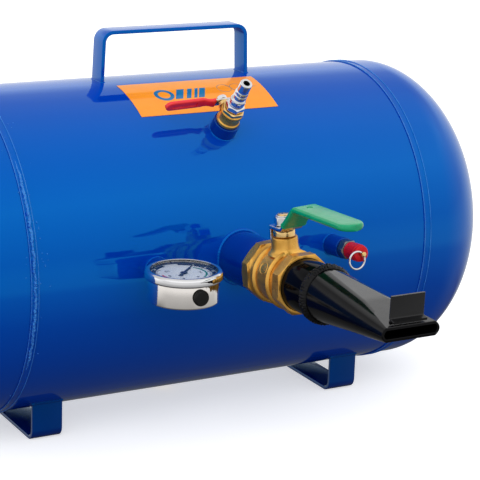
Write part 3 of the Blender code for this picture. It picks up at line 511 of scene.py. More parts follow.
def bead(points, radius, seed, rough=0.25, pitch=0.0021):
    """Closed weld bead round a loop of points, with the ripples of its passes."""
    rings = []
    length = 0.0
    for i, point in enumerate(points):
        after = points[(i + 1) % len(points)]
        ahead = (after - points[i - 1]).normalized()
        side = ahead.cross(Vector((0.3, 0.2, 0.9))).normalized()
        ripple = abs(sin(pi * length / pitch))
        size = radius * (0.86 + 0.16 * ripple + rough * wobble(point, 260, seed))
        rings.append(round_ring(point, size, side, side.cross(ahead)))
        length += (after - point).length
    return loft(rings, closed=True)


def on_shell(matrix, radius, angle):
    """Point where a round fitting's wall meets the shell."""
    foot_point = matrix @ Vector((*polar(radius, angle), 0))
    ahead = (matrix.to_3x3() @ Vector((0, 0, 1))).normalized()
    off = foot_point - AXIS
    a = ahead.y ** 2 + ahead.z ** 2
    b = off.y * ahead.y + off.z * ahead.z
    c = off.y ** 2 + off.z ** 2 - TANK_RADIUS ** 2
    return foot_point + ahead * ((-b + sqrt(b * b - a * c)) / a)


def shell_loop(x_low, x_high, y_low, y_high, side, spacing=0.0005):
    """Loop on the shell round a rectangle seen from above (side 1) or below (side -1)."""
    corners = [(x_low, y_low), (x_high, y_low), (x_high, y_high), (x_low, y_high)]
    points = []
    for (xa, ya), (xb, yb) in zip(corners, corners[1:] + corners[:1]):
        steps = max(2, int(hypot(xb - xa, yb - ya) / spacing))
        for k in range(steps):
            x = xa + (xb - xa) * k / steps
            y = ya + (yb - ya) * k / steps
            points.append(AXIS + Vector((x, y, side * sqrt(TANK_RADIUS ** 2 - y ** 2))))
    return points


def socket(name, cad_node, matrix, radius, bore, back, face, weld_size, seed):
    """Plain threaded socket welded into the shell."""
    put(name, turned(tube(bore, radius, back, face), 0.0006), BLUE_DEEP, matrix, cad_node)
    count = max(72, int(2 * pi * radius / 0.0005))
    points = [on_shell(matrix, radius + weld_size * 0.25, angle) for angle in angles(count)]
    put(name + "_weld", bead(points, weld_size, seed, 0.12), BLUE)


# ---- tank
TANK_STEPS = 240
ENDS = (("right", 1), ("left", -1))
PORTS = ((OUTLET, 0.0203), (FILL, 0.0105), (GAUGE, 0.0095), (SAFETY, 0.0082), (DRAIN, 0.0095))
STRAP = 0.003
HANDLE_SPAN, HANDLE_WIDTH, HANDLE_RISE = 0.0643, 0.017, 0.037
FOOT_X, FOOT_WIDTH, FOOT_SIDE = 0.1346, 0.025, 0.0675 - STRAP / 2


def tank_shell():
    half, inner = SEAM_X - SEAM_GAP, TANK_RADIUS - TANK_WALL
    profile = [(TANK_RADIUS, half), (TANK_RADIUS, 0), (TANK_RADIUS, -half), (inner, -half),
               (inner, half)]
    shell = put("shell_skin", revolve(profile, TANK_STEPS), BLUE, TANK @ TURN_ALONG_X, "tank_shell")
    for matrix, radius in PORTS:
        drill(shell, radius + 0.0003, TANK_RADIUS - 0.014, TANK_RADIUS + 0.014, matrix, 64)


def dished(wall, count=40):
    """Profile of a head's surface from its rim to the middle; wall says how deep it lies."""
    profile = [(TANK_RADIUS - wall, SEAM_X + SEAM_GAP)]
    for i in range(count + 1):
        radius, rise = polar(1, pi / 2 * i / count)
        profile.append(((TANK_RADIUS - wall) * radius, SEAM_X + HEAD_SKIRT + (HEAD_DEPTH - wall) * rise))
    profile[-1] = (0.0, profile[-1][1])
    return profile


def tank_head(end, side):
    skin = revolve(dished(TANK_WALL)[::-1] + dished(0.0), TANK_STEPS)
    put(f"head_skin_{end}", skin, BLUE, TANK @ spin(90 * side, "Y"), f"head_{end}")


def girth_bead(end, side):
    """Low flat weld band over a girth seam; the left one has a coarse surface."""
    name, rough = f"girth_weld_{end}", side < 0
    half = [(0.2, 0.36), (0.45, 0.3), (0.72, 0.4), (0.84, 0.8), (0.91, 1.0), (0.96, 0.75), (1.0, 0.0)]
    across = [(-share, height) for share, height in half[::-1]] + [(0.0, 0.32)] + half
    half_width = 0.0032
    rings = []
    for angle in angles(900 if rough else 360):
        # the coarse stretch lies low on the front, where the weld was closed by hand
        coarse = max(0.0, cos(angle - radians(188))) ** 3
        ring = []
        for share, height in across:
            place = Vector((share * 2.2, *polar(30, angle)))
            lift = 0.00085 * height * (1 + 0.3 * wobble(place, 1.3, side))
            grain = noise.noise(place * 3.1) + 0.6 * noise.noise(place * 7.7)
            lift += rough * coarse * 0.0004 * (grain + 0.35) * min(1.0, 4 * (1 - abs(share)))
            radius = TANK_RADIUS + max(min(lift, 0.0016), 0.0) + 0.00002
            x = side * SEAM_X + half_width * share * (1 + 0.06 * wobble(place, 0.8, side + 4))
            ring.append((x, *polar(radius, angle)))
        ring += [(side * SEAM_X + half_width * share, *polar(TANK_RADIUS - 0.0004, angle))
                 for share in (0.9, -0.9)]
        rings.append(ring)
    put(name, loft(rings, closed=True), BLUE_BAR, TANK, f"seam_weld_{end}", sharp=60)
    # thin ridges along both edges of the band, in lighter blue as painted highlight lines
    for edge in (-1, 1):
        profile = [(TANK_RADIUS + 0.0006 + 0.0005 * sin(a), edge * 0.0028 + 0.0003 * cos(a))
                   for a in angles(8)]
        put(f"{name}_ridge_{edge + 1}", revolve(profile, TANK_STEPS), BLUE_PAINTED_GLINT,
            TANK @ TURN_ALONG_X @ at(z=side * SEAM_X), sharp=80)


def closing_pass():
    """Lumpy hand-laid pass over the front of the left seam."""
    steps = 520
    rings = []
    for k in range(steps + 1):
        share = k / steps
        angle = radians(134 + 76 * share)
        fade = min(1.0, 0.15 + 9 * share, 0.15 + 9 * (1 - share))
        spot = Vector((0, *polar(70, angle)))
        ring = []
        for s in range(11):
            sideways, outwards = polar(1, pi * s / 10)
            place = spot + Vector((1.6 * sideways, 0, outwards))
            lumps = 1 + 0.5 * noise.noise(place * 1.1) + 0.45 * noise.noise(place * 2.9)
            x = -SEAM_X + 0.0008 * noise.noise(spot * 0.35) + 0.001 * fade * sideways * lumps
            ring.append((x, *polar(TANK_RADIUS + 0.0002 + 0.0013 * fade * outwards * lumps, angle)))
        rings.append(ring)
    # the pass is lighter blue: painted glints
    put("girth_closing_pass", loft(rings), BLUE_PAINTED_GLINT, TANK, sharp=70)


def spatter():
    """Small drops of weld metal under the paint, close to the left seam."""
    draw = random.Random(11)
    bm = bmesh.new()
    for _ in range(110):
        angle = radians(draw.gauss(150, 34))
        x = -SEAM_X + draw.gauss(0.0025, 0.004)
        size = draw.uniform(0.0002, 0.0006)
        for vert in bmesh.ops.create_icosphere(bm, subdivisions=1, radius=size)["verts"]:
            vert.co += Vector((x, *polar(TANK_RADIUS, angle)))
    # the drops are lighter blue: painted glints
    put("weld_spatter", bm, BLUE_PAINTED_GLINT, TANK)


def carry_handle():
    end_height = TANK_RADIUS - 0.0025
    top = TANK_RADIUS + HANDLE_RISE + STRAP / 2
    shift = (top - TANK_RADIUS) * tan(radians(2.5))
    corners = [(-HANDLE_SPAN, end_height), (shift - HANDLE_SPAN, top),
               (HANDLE_SPAN - shift, top), (HANDLE_SPAN, end_height)]
    path = eased(bent(corners, 0.008, HANDLE_WIDTH / 2, 12), 0.01)
    put("handle_bar", bar(path, STRAP, 0.0004), BLUE_BAR, TANK, "carry_handle")
    for side, name in ((-1, "handle_weld_left"), (1, "handle_weld_right")):
        x = side * HANDLE_SPAN
        points = shell_loop(x - 0.0016, x + 0.0016, -HANDLE_WIDTH / 2, HANDLE_WIDTH / 2, 1)
        put(name, bead(points, 0.0006, 3.0 + side), BLUE)


def foot(end, side):
    name, x = f"foot_bar_{end}", side * FOOT_X
    bottom = STRAP / 2 - AXIS_HEIGHT
    top = -sqrt(TANK_RADIUS ** 2 - FOOT_SIDE ** 2) + 0.0012
    corners = [(-FOOT_SIDE, top), (-FOOT_SIDE, bottom), (FOOT_SIDE, bottom), (FOOT_SIDE, top)]
    path = eased(bent(corners, 0.0075, FOOT_WIDTH / 2, 12), 0.02)
    # the feet and their welds take the darker blue, which is painted shade
    put(name, bar(path, STRAP, 0.0004), BLUE_FOOT_PAINTED_SHADE, TANK @ at(x) @ spin(90, "Z"), f"foot_{end}")
    for face, edge in ((-1, "front"), (1, "back")):
        y = face * FOOT_SIDE
        points = shell_loop(x - FOOT_WIDTH / 2, x + FOOT_WIDTH / 2, y - 0.0012, y + 0.0012, -1)
        put(f"{name}_weld_{edge}", bead(points, 0.0012, x * 40 + face), BLUE_FOOT_PAINTED_SHADE)


# ---- sticker
LABEL_LEFT, LABEL_RIGHT = -0.057, 0.063
LABEL_TOP, LABEL_LOW = 8.6, 30.2        # degrees forwards from the top of the tank
PAPER_LEVELS, PRINT_LEVELS = (0.00012, 0.0003), (0.00031, 0.00036)


def film(outline, low, high, spacing=0.0025):
    """Thin closed sheet over the shell, cut into strips so that it bends with it.

    The outline's points are (x, along); along is the arc from the tank's top forwards.
    """
    bm = bmesh.new()
    bm.faces.new([bm.verts.new((x, along, 0)) for x, along in outline])
    start = min(along for _, along in outline)
    end = max(along for _, along in outline)
    cuts = int((end - start) / spacing)
    for k in range(1, cuts + 1):
        plane = Vector((0, start + (end - start) * k / (cuts + 1), 0))
        bmesh.ops.bisect_plane(bm, geom=bm.verts[:] + bm.edges[:] + bm.faces[:], plane_co=plane,
                               plane_no=(0, 1, 0), dist=1e-7)
    made = bmesh.ops.extrude_face_region(bm, geom=bm.faces[:])
    lifted = {v for v in made["geom"] if isinstance(v, bmesh.types.BMVert)}
    for vert in bm.verts:
        up, forwards = polar(TANK_RADIUS + (high if vert in lifted else low), vert.co.y / TANK_RADIUS)
        vert.co = (vert.co.x, -forwards, up)
    return bm


def ring_outline(x, along, outer, inner, count=40):
    """Ring as one outline, with a hair-thin slit."""
    turns = [2 * pi * k / count - 0.01 * (k == count) for k in range(count + 1)]
    made = [(outer, turn) for turn in turns] + [(inner, turn) for turn in reversed(turns)]
    return [(x + radius * cos(turn), along + radius * sin(turn)) for radius, turn in made]


def slanted(x, along, width, height, slant):
    """Parallelogram centred on a point."""
    lean = height * slant
    return [(x - width / 2 - lean, along - height / 2), (x + width / 2 - lean, along - height / 2),
            (x + width / 2 + lean, along + height / 2), (x - width / 2 + lean, along + height / 2)]


def sticker():
    top = radians(LABEL_TOP) * TANK_RADIUS
    low = radians(LABEL_LOW) * TANK_RADIUS
    outline = [(LABEL_LEFT, top), (LABEL_RIGHT, top), (LABEL_RIGHT, low), (LABEL_LEFT, low)]
    put("sticker", film(outline, *PAPER_LEVELS), PAPER, TANK, "label")
    middle = top + (low - top) * 0.47
    marks = [ring_outline(-0.0265, middle, 0.0082, 0.005)]
    marks += [slanted(x, middle, width, 0.014, -0.25) for x, width in (
        (-0.0128, 0.0065), (-0.0045, 0.004), (0.0015, 0.0028), (0.0068, 0.0052))]
    lines = [slanted(-0.012, middle + 0.0128, 0.03, 0.0009, 0),
             slanted(-0.0165, middle + 0.0152, 0.021, 0.0007, 0),
             ring_outline(0.0285, middle - 0.004, 0.0062, 0.0057),
             ring_outline(0.04, middle - 0.004, 0.0062, 0.0057),
             slanted(0.0343, middle - 0.004, 0.0006, 0.0124, 0.3),
             slanted(0.052, middle - 0.004, 0.01, 0.0006, 0),
             slanted(0.052, middle - 0.007, 0.007, 0.0006, 0)]
    for kind, mat, outlines in (("mark", PRINT_BLUE, marks), ("line", PRINT_GREY, lines)):
        for i, shape in enumerate(outlines):
            put(f"sticker_{kind}_{i}", film(shape, *PRINT_LEVELS), mat, TANK, sharp=80)


def tank():
    tank_shell()
    for build in (tank_head, girth_bead):
        for end in ENDS:
            build(*end)
    closing_pass()
    spatter()
    carry_handle()
    for end in ENDS:
        foot(*end)
    sticker()
    socket("drain_socket", "drain_bung", DRAIN, 0.0095, 0.0068, 0.1205, 0.1282, 0.0008, 9.0)
    put("drain_hex_plug", nut(0.014, 0.0, 0.1285, 0.132), BRASS_TURNED, DRAIN, "drain_plug")


# ---- main valve
VALVE_FLAT = 0.02175
VALVE_BACK, VALVE_FRONT = 0.165, 0.219
LEVER_PLATE, LEVER_GRIP = 0.0382, 0.0575
LEVER_STEEL, LEVER_WIDTH, LEVER_LENGTH = 0.0025, 0.0088, 0.0975
LEVER_CORNERS = ((0.009, LEVER_PLATE), (0.029, LEVER_GRIP))


def octagon_shape(face, inward, depth):
    """Outer surface of an octagon end whose corners are turned to a cone at both ends."""

    def shape(angle, radius, height):
        inside = (height - face) * inward
        if radius < 0.0208 or not -1e-6 <= inside <= depth:
            return radius
        front = VALVE_FLAT * 0.985 + inside * 1.7
        back = VALVE_FLAT * 1.01 + (depth - inside) * 2.2
        return min(prism_radius(angle, 8, VALVE_FLAT, pi / 8), front, back)

    return shape


def octagon_levels(face, inward, depth):
    shares = [0, 0.03, 0.06, 0.09, 0.13, 0.17, 0.22, 0.3, 0.5, 0.7, 0.8, 0.87, 0.92, 0.96, 1.0]
    return [(VALVE_FLAT, face + inward * depth * s) for s in shares]


def crown(radius, low, high, rise, count=6):
    """Rounded raised band of a profile."""
    return [(radius + rise * sin(pi * k / count) ** 0.6, low + (high - low) * (k / count))
            for k in range(count + 1)]


def valve_casting():
    waist, depth = 0.0206, 0.0092
    outer = octagon_levels(VALVE_BACK, 1, depth) + mm(21.1, 175.5, 20.6, 176.8, 20.6, 179)
    outer += crown(waist, 0.18, 0.1834, 0.0021) + mm(20.5, 185, 20.4, 192, 20.5, 197.8)
    outer += crown(waist, 0.1994, 0.2028, 0.0021) + mm(20.6, 203.15)
    inner = mm(17, 203.15, 17, 198.5, 14.3, 198.5, 14.3, 180.9, 10, 180.9, 10, 176, 20.6, 176, 20.6, 165)
    bm = revolve(outer + inner, 192, octagon_shape(VALVE_BACK, 1, depth))
    body = put("valve_casting", bm, BRASS_CAST, OUTLET, "main_valve_body", sharp=32)
    hole = mm(0, 12, 5.7, 12, 5.7, 16, 4.8, 16, 4.8, 25, 0, 25)
    cut_hole(body, turned(hole, 0, 48), MAIN_UP)
    boss = mm(4.8, 17.8, 13.2, 17.8, 12.6, 19, 11, 20.7, 10.2, 22.8, 9.85, 26, 9.7, 30.4,
              9.2, 31, 7.1, 31, 7.1, 24, 4.8, 24)
    put("valve_boss", turned(boss, 0.0005), BRASS_CAST, MAIN_UP)
    cast_mark()


def cast_mark():
    """Raised plain ring and bars where the foundry puts its marks."""
    base, height = 0.02045, 0.1918

    def around_valve(along, turn, radius):
        """Point on the casting; turn in degrees from the top, positive towards +X."""
        return Vector((*polar(radius, radians(90 - turn)), height + along))

    for name, turn in (("cast_mark_left", -62), ("cast_mark_right", 118)):
        rings = []
        for a in angles(40):
            ring = []
            for b in angles(6):
                along, across = polar(0.0044 + 0.00045 * cos(b), a)
                lift = base + 0.00035 * sin(b)
                ring.append(around_valve(along, turn + degrees(across / base), lift))
            rings.append(ring)
        put(name, loft(rings, closed=True), BRASS_CAST, OUTLET, sharp=60)
        for i, (offset, length) in enumerate(((-0.001, 0.004), (0.0012, 0.0028), (0.01, 0.005))):
            bm = bmesh.new()
            bmesh.ops.create_cube(bm, size=1.0)
            bmesh.ops.scale(bm, vec=(length, 0.0007, 0.0007), verts=bm.verts)
            bmesh.ops.subdivide_edges(bm, edges=bm.edges[:], cuts=3, use_grid_fill=True)
            bmesh.ops.bevel(bm, geom=[e for e in bm.edges if e.calc_face_angle(0) > 1], offset=0.0002,
                            segments=2, affect="EDGES")
            for vert in bm.verts:
                around = turn + degrees((offset + vert.co.y) / base)
                vert.co = around_valve(vert.co.x, around, base + vert.co.z)
            put(f"{name}_bar_{i}", bm, BRASS_CAST, OUTLET, sharp=40)


def valve_front():
    outer = mm(16.7, 198.8, 16.7, 203.4, 20.3, 203.4, 20.4, 207, 21, 208.6)
    outer += octagon_levels(VALVE_FRONT, -1, 0.0095)[::-1]
    inner = mm(20, 219, 20, 208.5, 10, 208.5, 10, 205.1, 14.3, 205.1, 14.3, 198.8)
    bm = revolve(outer + inner, 192, octagon_shape(VALVE_FRONT, -1, 0.0095))
    put("valve_front", bm, BRASS_CAST, NOZZLE, "main_valve_end", sharp=32)


def eased_in(share):
    share = min(1.0, max(0.0, share))
    return share * share * (3 - 2 * share)


def valve_lever():
    back, tab = -0.0125, 0.005
    corners = [(back, LEVER_PLATE - 0.011), (back, LEVER_PLATE), *LEVER_CORNERS,
               (LEVER_LENGTH, LEVER_GRIP)]
    path = [(along, height, tab + (width - tab) * eased_in((along + 0.0105) / 0.0035))
            for along, height, width in eased(bent(corners, 0.0045, LEVER_WIDTH, 8), 0.0012)]
    lever = put("valve_lever", bar(round_end(path), LEVER_STEEL, 0.0005), CHROME, MAIN_STRAP,
                "main_lever", body="main_lever")
    drill(lever, 0.0048, 0.034, 0.042, MAIN_UP, 48)


def lever_sleeve():
    """Dipped vinyl grip: round-edged, thicker at its mouth, with a shallow dimple in its top."""
    low, high = (Vector(corner) for corner in LEVER_CORNERS)
    start = low + (high - low) * 0.22
    half = LEVER_WIDTH + 0.0011
    path = bent([start, high, (LEVER_LENGTH + 0.0013, LEVER_GRIP)], 0.006, half, 12)
    grip = put("lever_grip", bar(round_end(eased(path, 0.003), 14), LEVER_STEEL + 0.0022, 0.0021), GREEN,
               MAIN_STRAP, "main_lever_sleeve", sharp=50, body="main_lever")
    dimple = mm(0, 59.4, 2.2, 59.4, 2.6, 61, 0, 61)
    cut_hole(grip, turned(dimple, 0, 40), MAIN_PIVOT @ at(z=0.0375) @ spin(-90, "X"))
    ahead = (high - low).normalized()
    lip = [(*(start + ahead * reach), half + 0.0002) for reach in (-0.0002, 0.0014)]
    put("lever_grip_lip", bar(lip, LEVER_STEEL + 0.0025, 0.0018), GREEN, MAIN_STRAP, sharp=50,
        body="main_lever")


def main_valve():
    socket("outlet_socket", "main_bung", OUTLET, 0.0203, 0.0165, 0.1185, 0.1755, 0.0015, 1.0)
    valve_casting()
    valve_front()
    gland = mm(4.8, 29.3, 6.7, 29.3, 6.7, 31.3, 7.8, 31.3, 8.1, 31.9, 8.1, 35, 7.4, 36.2,
               4.8, 36.2)
    put("stem_gland", turned(gland, 0.0005), BRASS_TURNED, MAIN_UP, "main_gland_nut")
    valve_lever()
    lever_sleeve()
    bottom = LEVER_PLATE + LEVER_STEEL / 2 + 0.0003
    put("lever_nut", nut(0.013, 0.0048, bottom, 0.0462, turn=0.3), CHROME, MAIN_UP, "main_lever_nut",
        body="main_lever")
    collar = mm(4.8, 46.2, 6, 46.2, 6, 47, 4.8, 47.2)
    put("lever_nut_collar", turned(collar), CHROME, MAIN_UP, body="main_lever")
    stem = mm(0, 13, 5.4, 13, 5.4, 15.5, 4.5, 15.5, 4.5, 47.8, 0, 47.8)
    put("valve_spindle", turned(stem, 0.0005), BRASS_TURNED, MAIN_UP, "main_stem", body="main_lever")


# ---- nozzle
PIPE_RADIUS, PIPE_WALL = 0.0197, 0.0022
BILL_START, BILL_KNEE, BILL_END = 0.2488, 0.311, 0.354
KNEE_THICK, END_THICK = 0.0122, 0.005


def bill_size(reach):
    """Half width, half thickness and side roundness of the bill."""
    share = (reach - BILL_START) / (BILL_END - BILL_START)
    knee = (BILL_KNEE - BILL_START) / (BILL_END - BILL_START)
    width = PIPE_RADIUS + (0.023 - PIPE_RADIUS) * share
    side = PIPE_RADIUS + (0.0095 - PIPE_RADIUS) * share
    if share < knee:
        thick = PIPE_RADIUS + (KNEE_THICK - PIPE_RADIUS) * share / knee
    else:
        thick = KNEE_THICK + (END_THICK - KNEE_THICK) * (share - knee) / (1 - knee)
    return width, thick, side


def bill_ring(reach, inset, side_count=20, flat_count=12):
    """Rounded sides and flat faces that meet in creases; the creases keep their own points."""
    width, thick, side = bill_size(reach)
    width -= inset
    side -= inset
    limit = min(thick - inset, side * 0.9985)
    crease = asin(limit / side)
    points = []
    for start, end, count in ((-crease, crease, side_count), (crease, pi - crease, flat_count),
                              (pi - crease, pi + crease, side_count),
                              (pi + crease, 2 * pi - crease, flat_count)):
        for k in range(count):
            angle = start + (end - start) * k / count
            x = width * cos(angle)
            if count == flat_count:
                x0, x1 = width * cos(start), width * cos(end)
                x = x0 + (x1 - x0) * k / count
            points.append((x, max(-limit, min(limit, side * sin(angle))), reach))
    return points


def nozzle_mouth():
    reaches = [BILL_START + (BILL_KNEE - BILL_START) * i / 16 for i in range(17)]
    reaches += [BILL_KNEE + (BILL_END - 0.0006 - BILL_KNEE) * i / 12 for i in range(1, 13)]
    rings = [bill_ring(reach, 0.0) for reach in reaches]
    rings += [bill_ring(BILL_END - drop, inset)
              for drop, inset in ((0.0002, 0.00022), (0, 0.0006), (0, 0.0018), (0.0003, PIPE_WALL))]
    rings += [bill_ring(reach, PIPE_WALL) for reach in reversed(reaches[:-1])]
    put("nozzle_mouth", loft(rings, closed=True), BLACK_BILL, NOZZLE, "nozzle_bill", sharp=26)


def pipe_bead(name, radius, middle, seed):
    """Rough weld all round the joint of pipe and mouth."""
    rings = []
    for angle in angles(300):
        spot = Vector((*polar(1, angle), 0)) * 9
        sway = 0.0004 * wobble(spot, 0.7, seed)
        ripple = abs(sin(angle * 34 + 1.5 * wobble(spot, 0.5, seed + 2)))
        ring = []
        for s in range(17):
            across = -1 + 2 * s / 16
            lift = cos(across * pi / 2) ** 0.7
            grain = wobble(spot + Vector((0, 0, across * 2.2)), 1.9, seed)
            fold = 1 - 0.45 * exp(-(across * 5 - 1.2 * wobble(spot, 0.4, seed + 5)) ** 2)
            out = min(radius + lift * fold * (0.0021 + 0.0005 * ripple + 0.0009 * grain), radius + 0.003)
            ring.append((*polar(out, angle), middle + sway + 0.0042 * across))
        ring += [(*polar(radius - 0.0004, angle), middle + height) for height in (0.003, -0.003)]
        rings.append(ring)
    put(name, loft(rings, closed=True), BLACK_WELD, NOZZLE, "nozzle_weld", sharp=60)


def rim_hook():
    base = bill_size(BILL_END - 0.004)[1] + 0.0016
    corners = [(BILL_END - 0.0012, base - 0.0002), (BILL_END - 0.0062, base + 0.0012),
               (BILL_END - 0.005, 0.0245)]
    path = bent(corners, 0.002, 0.0133, 8)
    put("rim_hook", bar(path, 0.0018, 0.0004), BLACK_HOOK, HOOK_STRAP, "nozzle_hook")
    height = base - 0.0009 + 0.0004
    last = 55
    rings = []
    for i in range(last + 1):
        point = NOZZLE @ Vector((-0.0128 + 0.0256 * (i / last), height, BILL_END - 0.0072))
        size = 0.0011 * (0.8 + 0.3 * abs(sin(i * 0.9)) + 0.3 * wobble(point, 300, 6))
        if i in (0, last):
            size *= 0.4
        rings.append(round_ring(point, size, Vector((0, 1, 0)), Vector((0, 0, 1))))
    put("rim_hook_weld", loft(rings), BLACK_WELD, sharp=60)


def nozzle():
    pipe = tube(PIPE_RADIUS - PIPE_WALL, PIPE_RADIUS, 0.2088, BILL_START - 0.0003)
    put("nozzle_tube", turned(pipe, 0.0004, 128), BLACK, NOZZLE, "nozzle_pipe")
    pipe_bead("nozzle_bead", PIPE_RADIUS, BILL_START - 0.0001, 5.0)
    nozzle_mouth()
    rim_hook()


# ---- fill valve
FILL_PLATE, FILL_GRIP = 0.01415, 0.0158
FILL_LENGTH, FILL_WIDTH, FILL_STEEL = 0.048, 0.0036, 0.0012
FILL_BORE = 0.0021


def fill_path(start, length, half_width):
    """Path of the small lever, with a narrow neck between its eye and its grip."""
    corners = [(start, FILL_PLATE), (0.009, FILL_PLATE), (0.016, FILL_GRIP), (length, FILL_GRIP)]
    path = round_end(eased(bent(corners, 0.003, half_width, 8), 0.0012))
    return [(along, height, width * (0.74 + 0.26 * eased_in(abs(along - 0.0125) / 0.0065)))
            for along, height, width in path]


def hose_plug():
    """Quick-coupling plug with a spanner hexagon and locking shoulders."""
    core = mm(5.5, 150.8, 5.5, 153.8, 6, 157.4, 6, 159.2, 5.8, 159.6, 5.8, 163.6, 5, 164.8,
              4.6, 165.2, 4.6, 166.6, 5.3, 167.1, 5, 169, 4.5, 169.7, 4.5, 170.4,
              5.3, 170.9, 4.9, 173, 4.5, 173.6, 4.7, 174.4, 4.7, 181.2, 4.3, 182, 2.6, 182,
              2.6, 150.8)
    put("hose_plug", turned(core, 0.00025), CHROME, FILL, "fill_nipple")
    put("hose_plug_hex", nut(0.0134, 0.0058, 0.1536, 0.158, 0.0007, 0.25), CHROME, FILL)
    put("hose_plug_small_hex", nut(0.0112, 0.005, 0.1597, 0.1632, 0.0004, 0.25), CHROME, FILL)


def fill_valve():
    socket("fill_socket", "fill_bung", FILL, 0.0105, 0.0068, 0.1185, 0.1375, 0.0007, 2.0)
    profile = mm(6.5, 127, 6.5, 137.8, 8.6, 137.8, 9.2, 138.4, 9.2, 140.4, 8.3, 141.2,
                 8.2, 144, 8.3, 147, 8.9, 147.6, 8.9, 149.4, 7.8, 150.2, 7.8, 153, 5.8, 153,
                 5.8, 150, 6.8, 150, 6.8, 138.5, 4, 138.5, 4, 127)
    body = put("inlet_casting", turned(profile, 0.00035), BRASS_CAST, FILL, "fill_valve_body")
    put("inlet_hex", nut(0.016, 0.0076, 0.15, 0.1532, 0.0006), BRASS_TURNED, FILL)
    drill(body, FILL_BORE, 0.006, 0.012, FILL_UP)
    boss = [(FILL_BORE, 0.0072), (0.0058, 0.0072), (0.005, 0.0082), (0.0046, 0.0094), (0.0045, 0.01),
            (FILL_BORE, 0.01)]
    put("inlet_boss", turned(boss), BRASS_CAST, FILL_UP)
    put("inlet_gland", nut(0.0084, FILL_BORE, 0.0103, 0.0132, 0.0005, 0.2), BRASS_TURNED, FILL_UP,
        "fill_gland_nut")
    hose_plug()
    strap = bar(fill_path(-0.005, FILL_LENGTH, FILL_WIDTH), FILL_STEEL, 0.0003)
    lever = put("inlet_lever", strap, CHROME, FILL_STRAP, "fill_lever", body="fill_lever")
    drill(lever, FILL_BORE, 0.012, 0.016, FILL_UP)
    sleeve = bar(fill_path(0.0075, FILL_LENGTH + 0.0013, FILL_WIDTH + 0.001), FILL_STEEL + 0.002, 0.0015)
    grip = put("inlet_lever_grip", sleeve, RED, FILL_STRAP, "fill_lever_sleeve", sharp=50,
               body="fill_lever")
    groove = round_end([(0.0225 + 0.0011 * k, FILL_GRIP - 0.0019, 0.0019) for k in range(21)])
    cut_hole(grip, bar(groove, 0.0018, 0.0004), FILL_STRAP)
    put("inlet_lever_nut", nut(0.0074, 0.0018, 0.0151, 0.0182, 0.0005, 0.4), CHROME, FILL_UP,
        "fill_lever_nut", body="fill_lever")
    put("inlet_spindle", turned(tube(0, 0.00178, 0.0066, 0.0186), 0.0004, 48), BRASS_TURNED, FILL_UP,
        "fill_stem", body="fill_lever")


# ---- pressure gauge
HUB = GAUGE @ at(z=GAUGE_CENTRE)
UPRIGHT = HUB @ spin(-90, "X")
PLUG_FRAME = HUB @ at(y=-0.0013)
CASE_TOP, BEZEL_TOP, DIAL_TOP = 0.0107, 0.013, 0.0095
SWEEP, ZERO = 270, 45.0        # degrees; the needle rests at ZERO in the upright frame


def dial_point(radius, turn, level):
    """Point over the dial; turn is in degrees clockwise from the zero mark."""
    return Vector((*polar(radius, radians(ZERO - turn)), level))


def dial_band(name, low, high, start, end, mat, level=0.00012):
    """Printed arc of a scale."""
    count = max(2, int((end - start) / 3))
    base = DIAL_TOP + 0.00002
    edges = ((low, base), (high, base), (high, base + level), (low, base + level))
    rings = [[dial_point(radius, start + (end - start) * k / count, height) for radius, height in edges]
             for k in range(count + 1)]
    put(name, loft(rings), mat, UPRIGHT)


def dial_ticks():
    bm = bmesh.new()
    for k in range(51):
        low, half = (0.0176, 0.00025) if k % 5 == 0 else (0.0188, 0.00013)
        turn = SWEEP * k / 50
        corners = [dial_point(radius, turn + side * degrees(half / radius), DIAL_TOP + 0.00003)
                   for radius, side in ((low, -1), (0.0207, -1), (0.0207, 1), (low, 1))]
        verts = [bm.verts.new(c) for c in corners]
        top = [bm.verts.new(c + Vector((0, 0, 0.0001))) for c in corners]
        bm.faces.new(verts)
        bm.faces.new(top)
        for i in range(4):
            j = (i + 1) % 4
            bm.faces.new((verts[i], verts[j], top[j], top[i]))
    put("dial_ticks", bm, INK, UPRIGHT)


def dial_number(value, turn, radius=0.0126, size=0.0044):
    """One upright figure; the dial's twelve o'clock faces away from the tank."""
    curve = bpy.data.curves.new("figure", "FONT")
    curve.body = str(value)
    curve.size = size
    curve.extrude = 0.00005
    curve.align_x = curve.align_y = "CENTER"
    shown = new_object("figure", curve)
    mesh = evaluated_mesh(shown)
    bpy.data.objects.remove(shown)
    bm = bmesh.new()
    bm.from_mesh(mesh)
    bpy.data.meshes.remove(mesh)
    bmesh.ops.remove_doubles(bm, verts=bm.verts, dist=1e-7)
    place = Matrix.Translation(dial_point(radius, turn, DIAL_TOP + 0.0001)) @ spin(180, "Z")
    put(f"dial_number_{value}", bm, INK, UPRIGHT @ place)


def gauge_hand():
    """Tapered pointer with a short tail and a domed cap over its hub."""
    hub = mm(0, 1, 0.9, 1, 0.9, 9.6, 2.7, 9.8, 2.7, 10.3, 2, 10.6, 0, 10.7)
    rest = UPRIGHT @ spin(ZERO, "Z")
    put("gauge_hand_hub", turned(hub, 0.0003, 48), INK, rest, "gauge_needle", body="needle",
        slot="needle_black")
    path = [(along, DIAL_TOP + 0.0007, half_width) for along, half_width in (
        (-0.008, 0.0017), (-0.005, 0.0012), (0.0, 0.0011), (0.012, 0.0007), (0.0188, 0.00022))]
    put("gauge_hand", bar(path, 0.0003, 0.0001), INK, rest, body="needle", slot="needle_black")


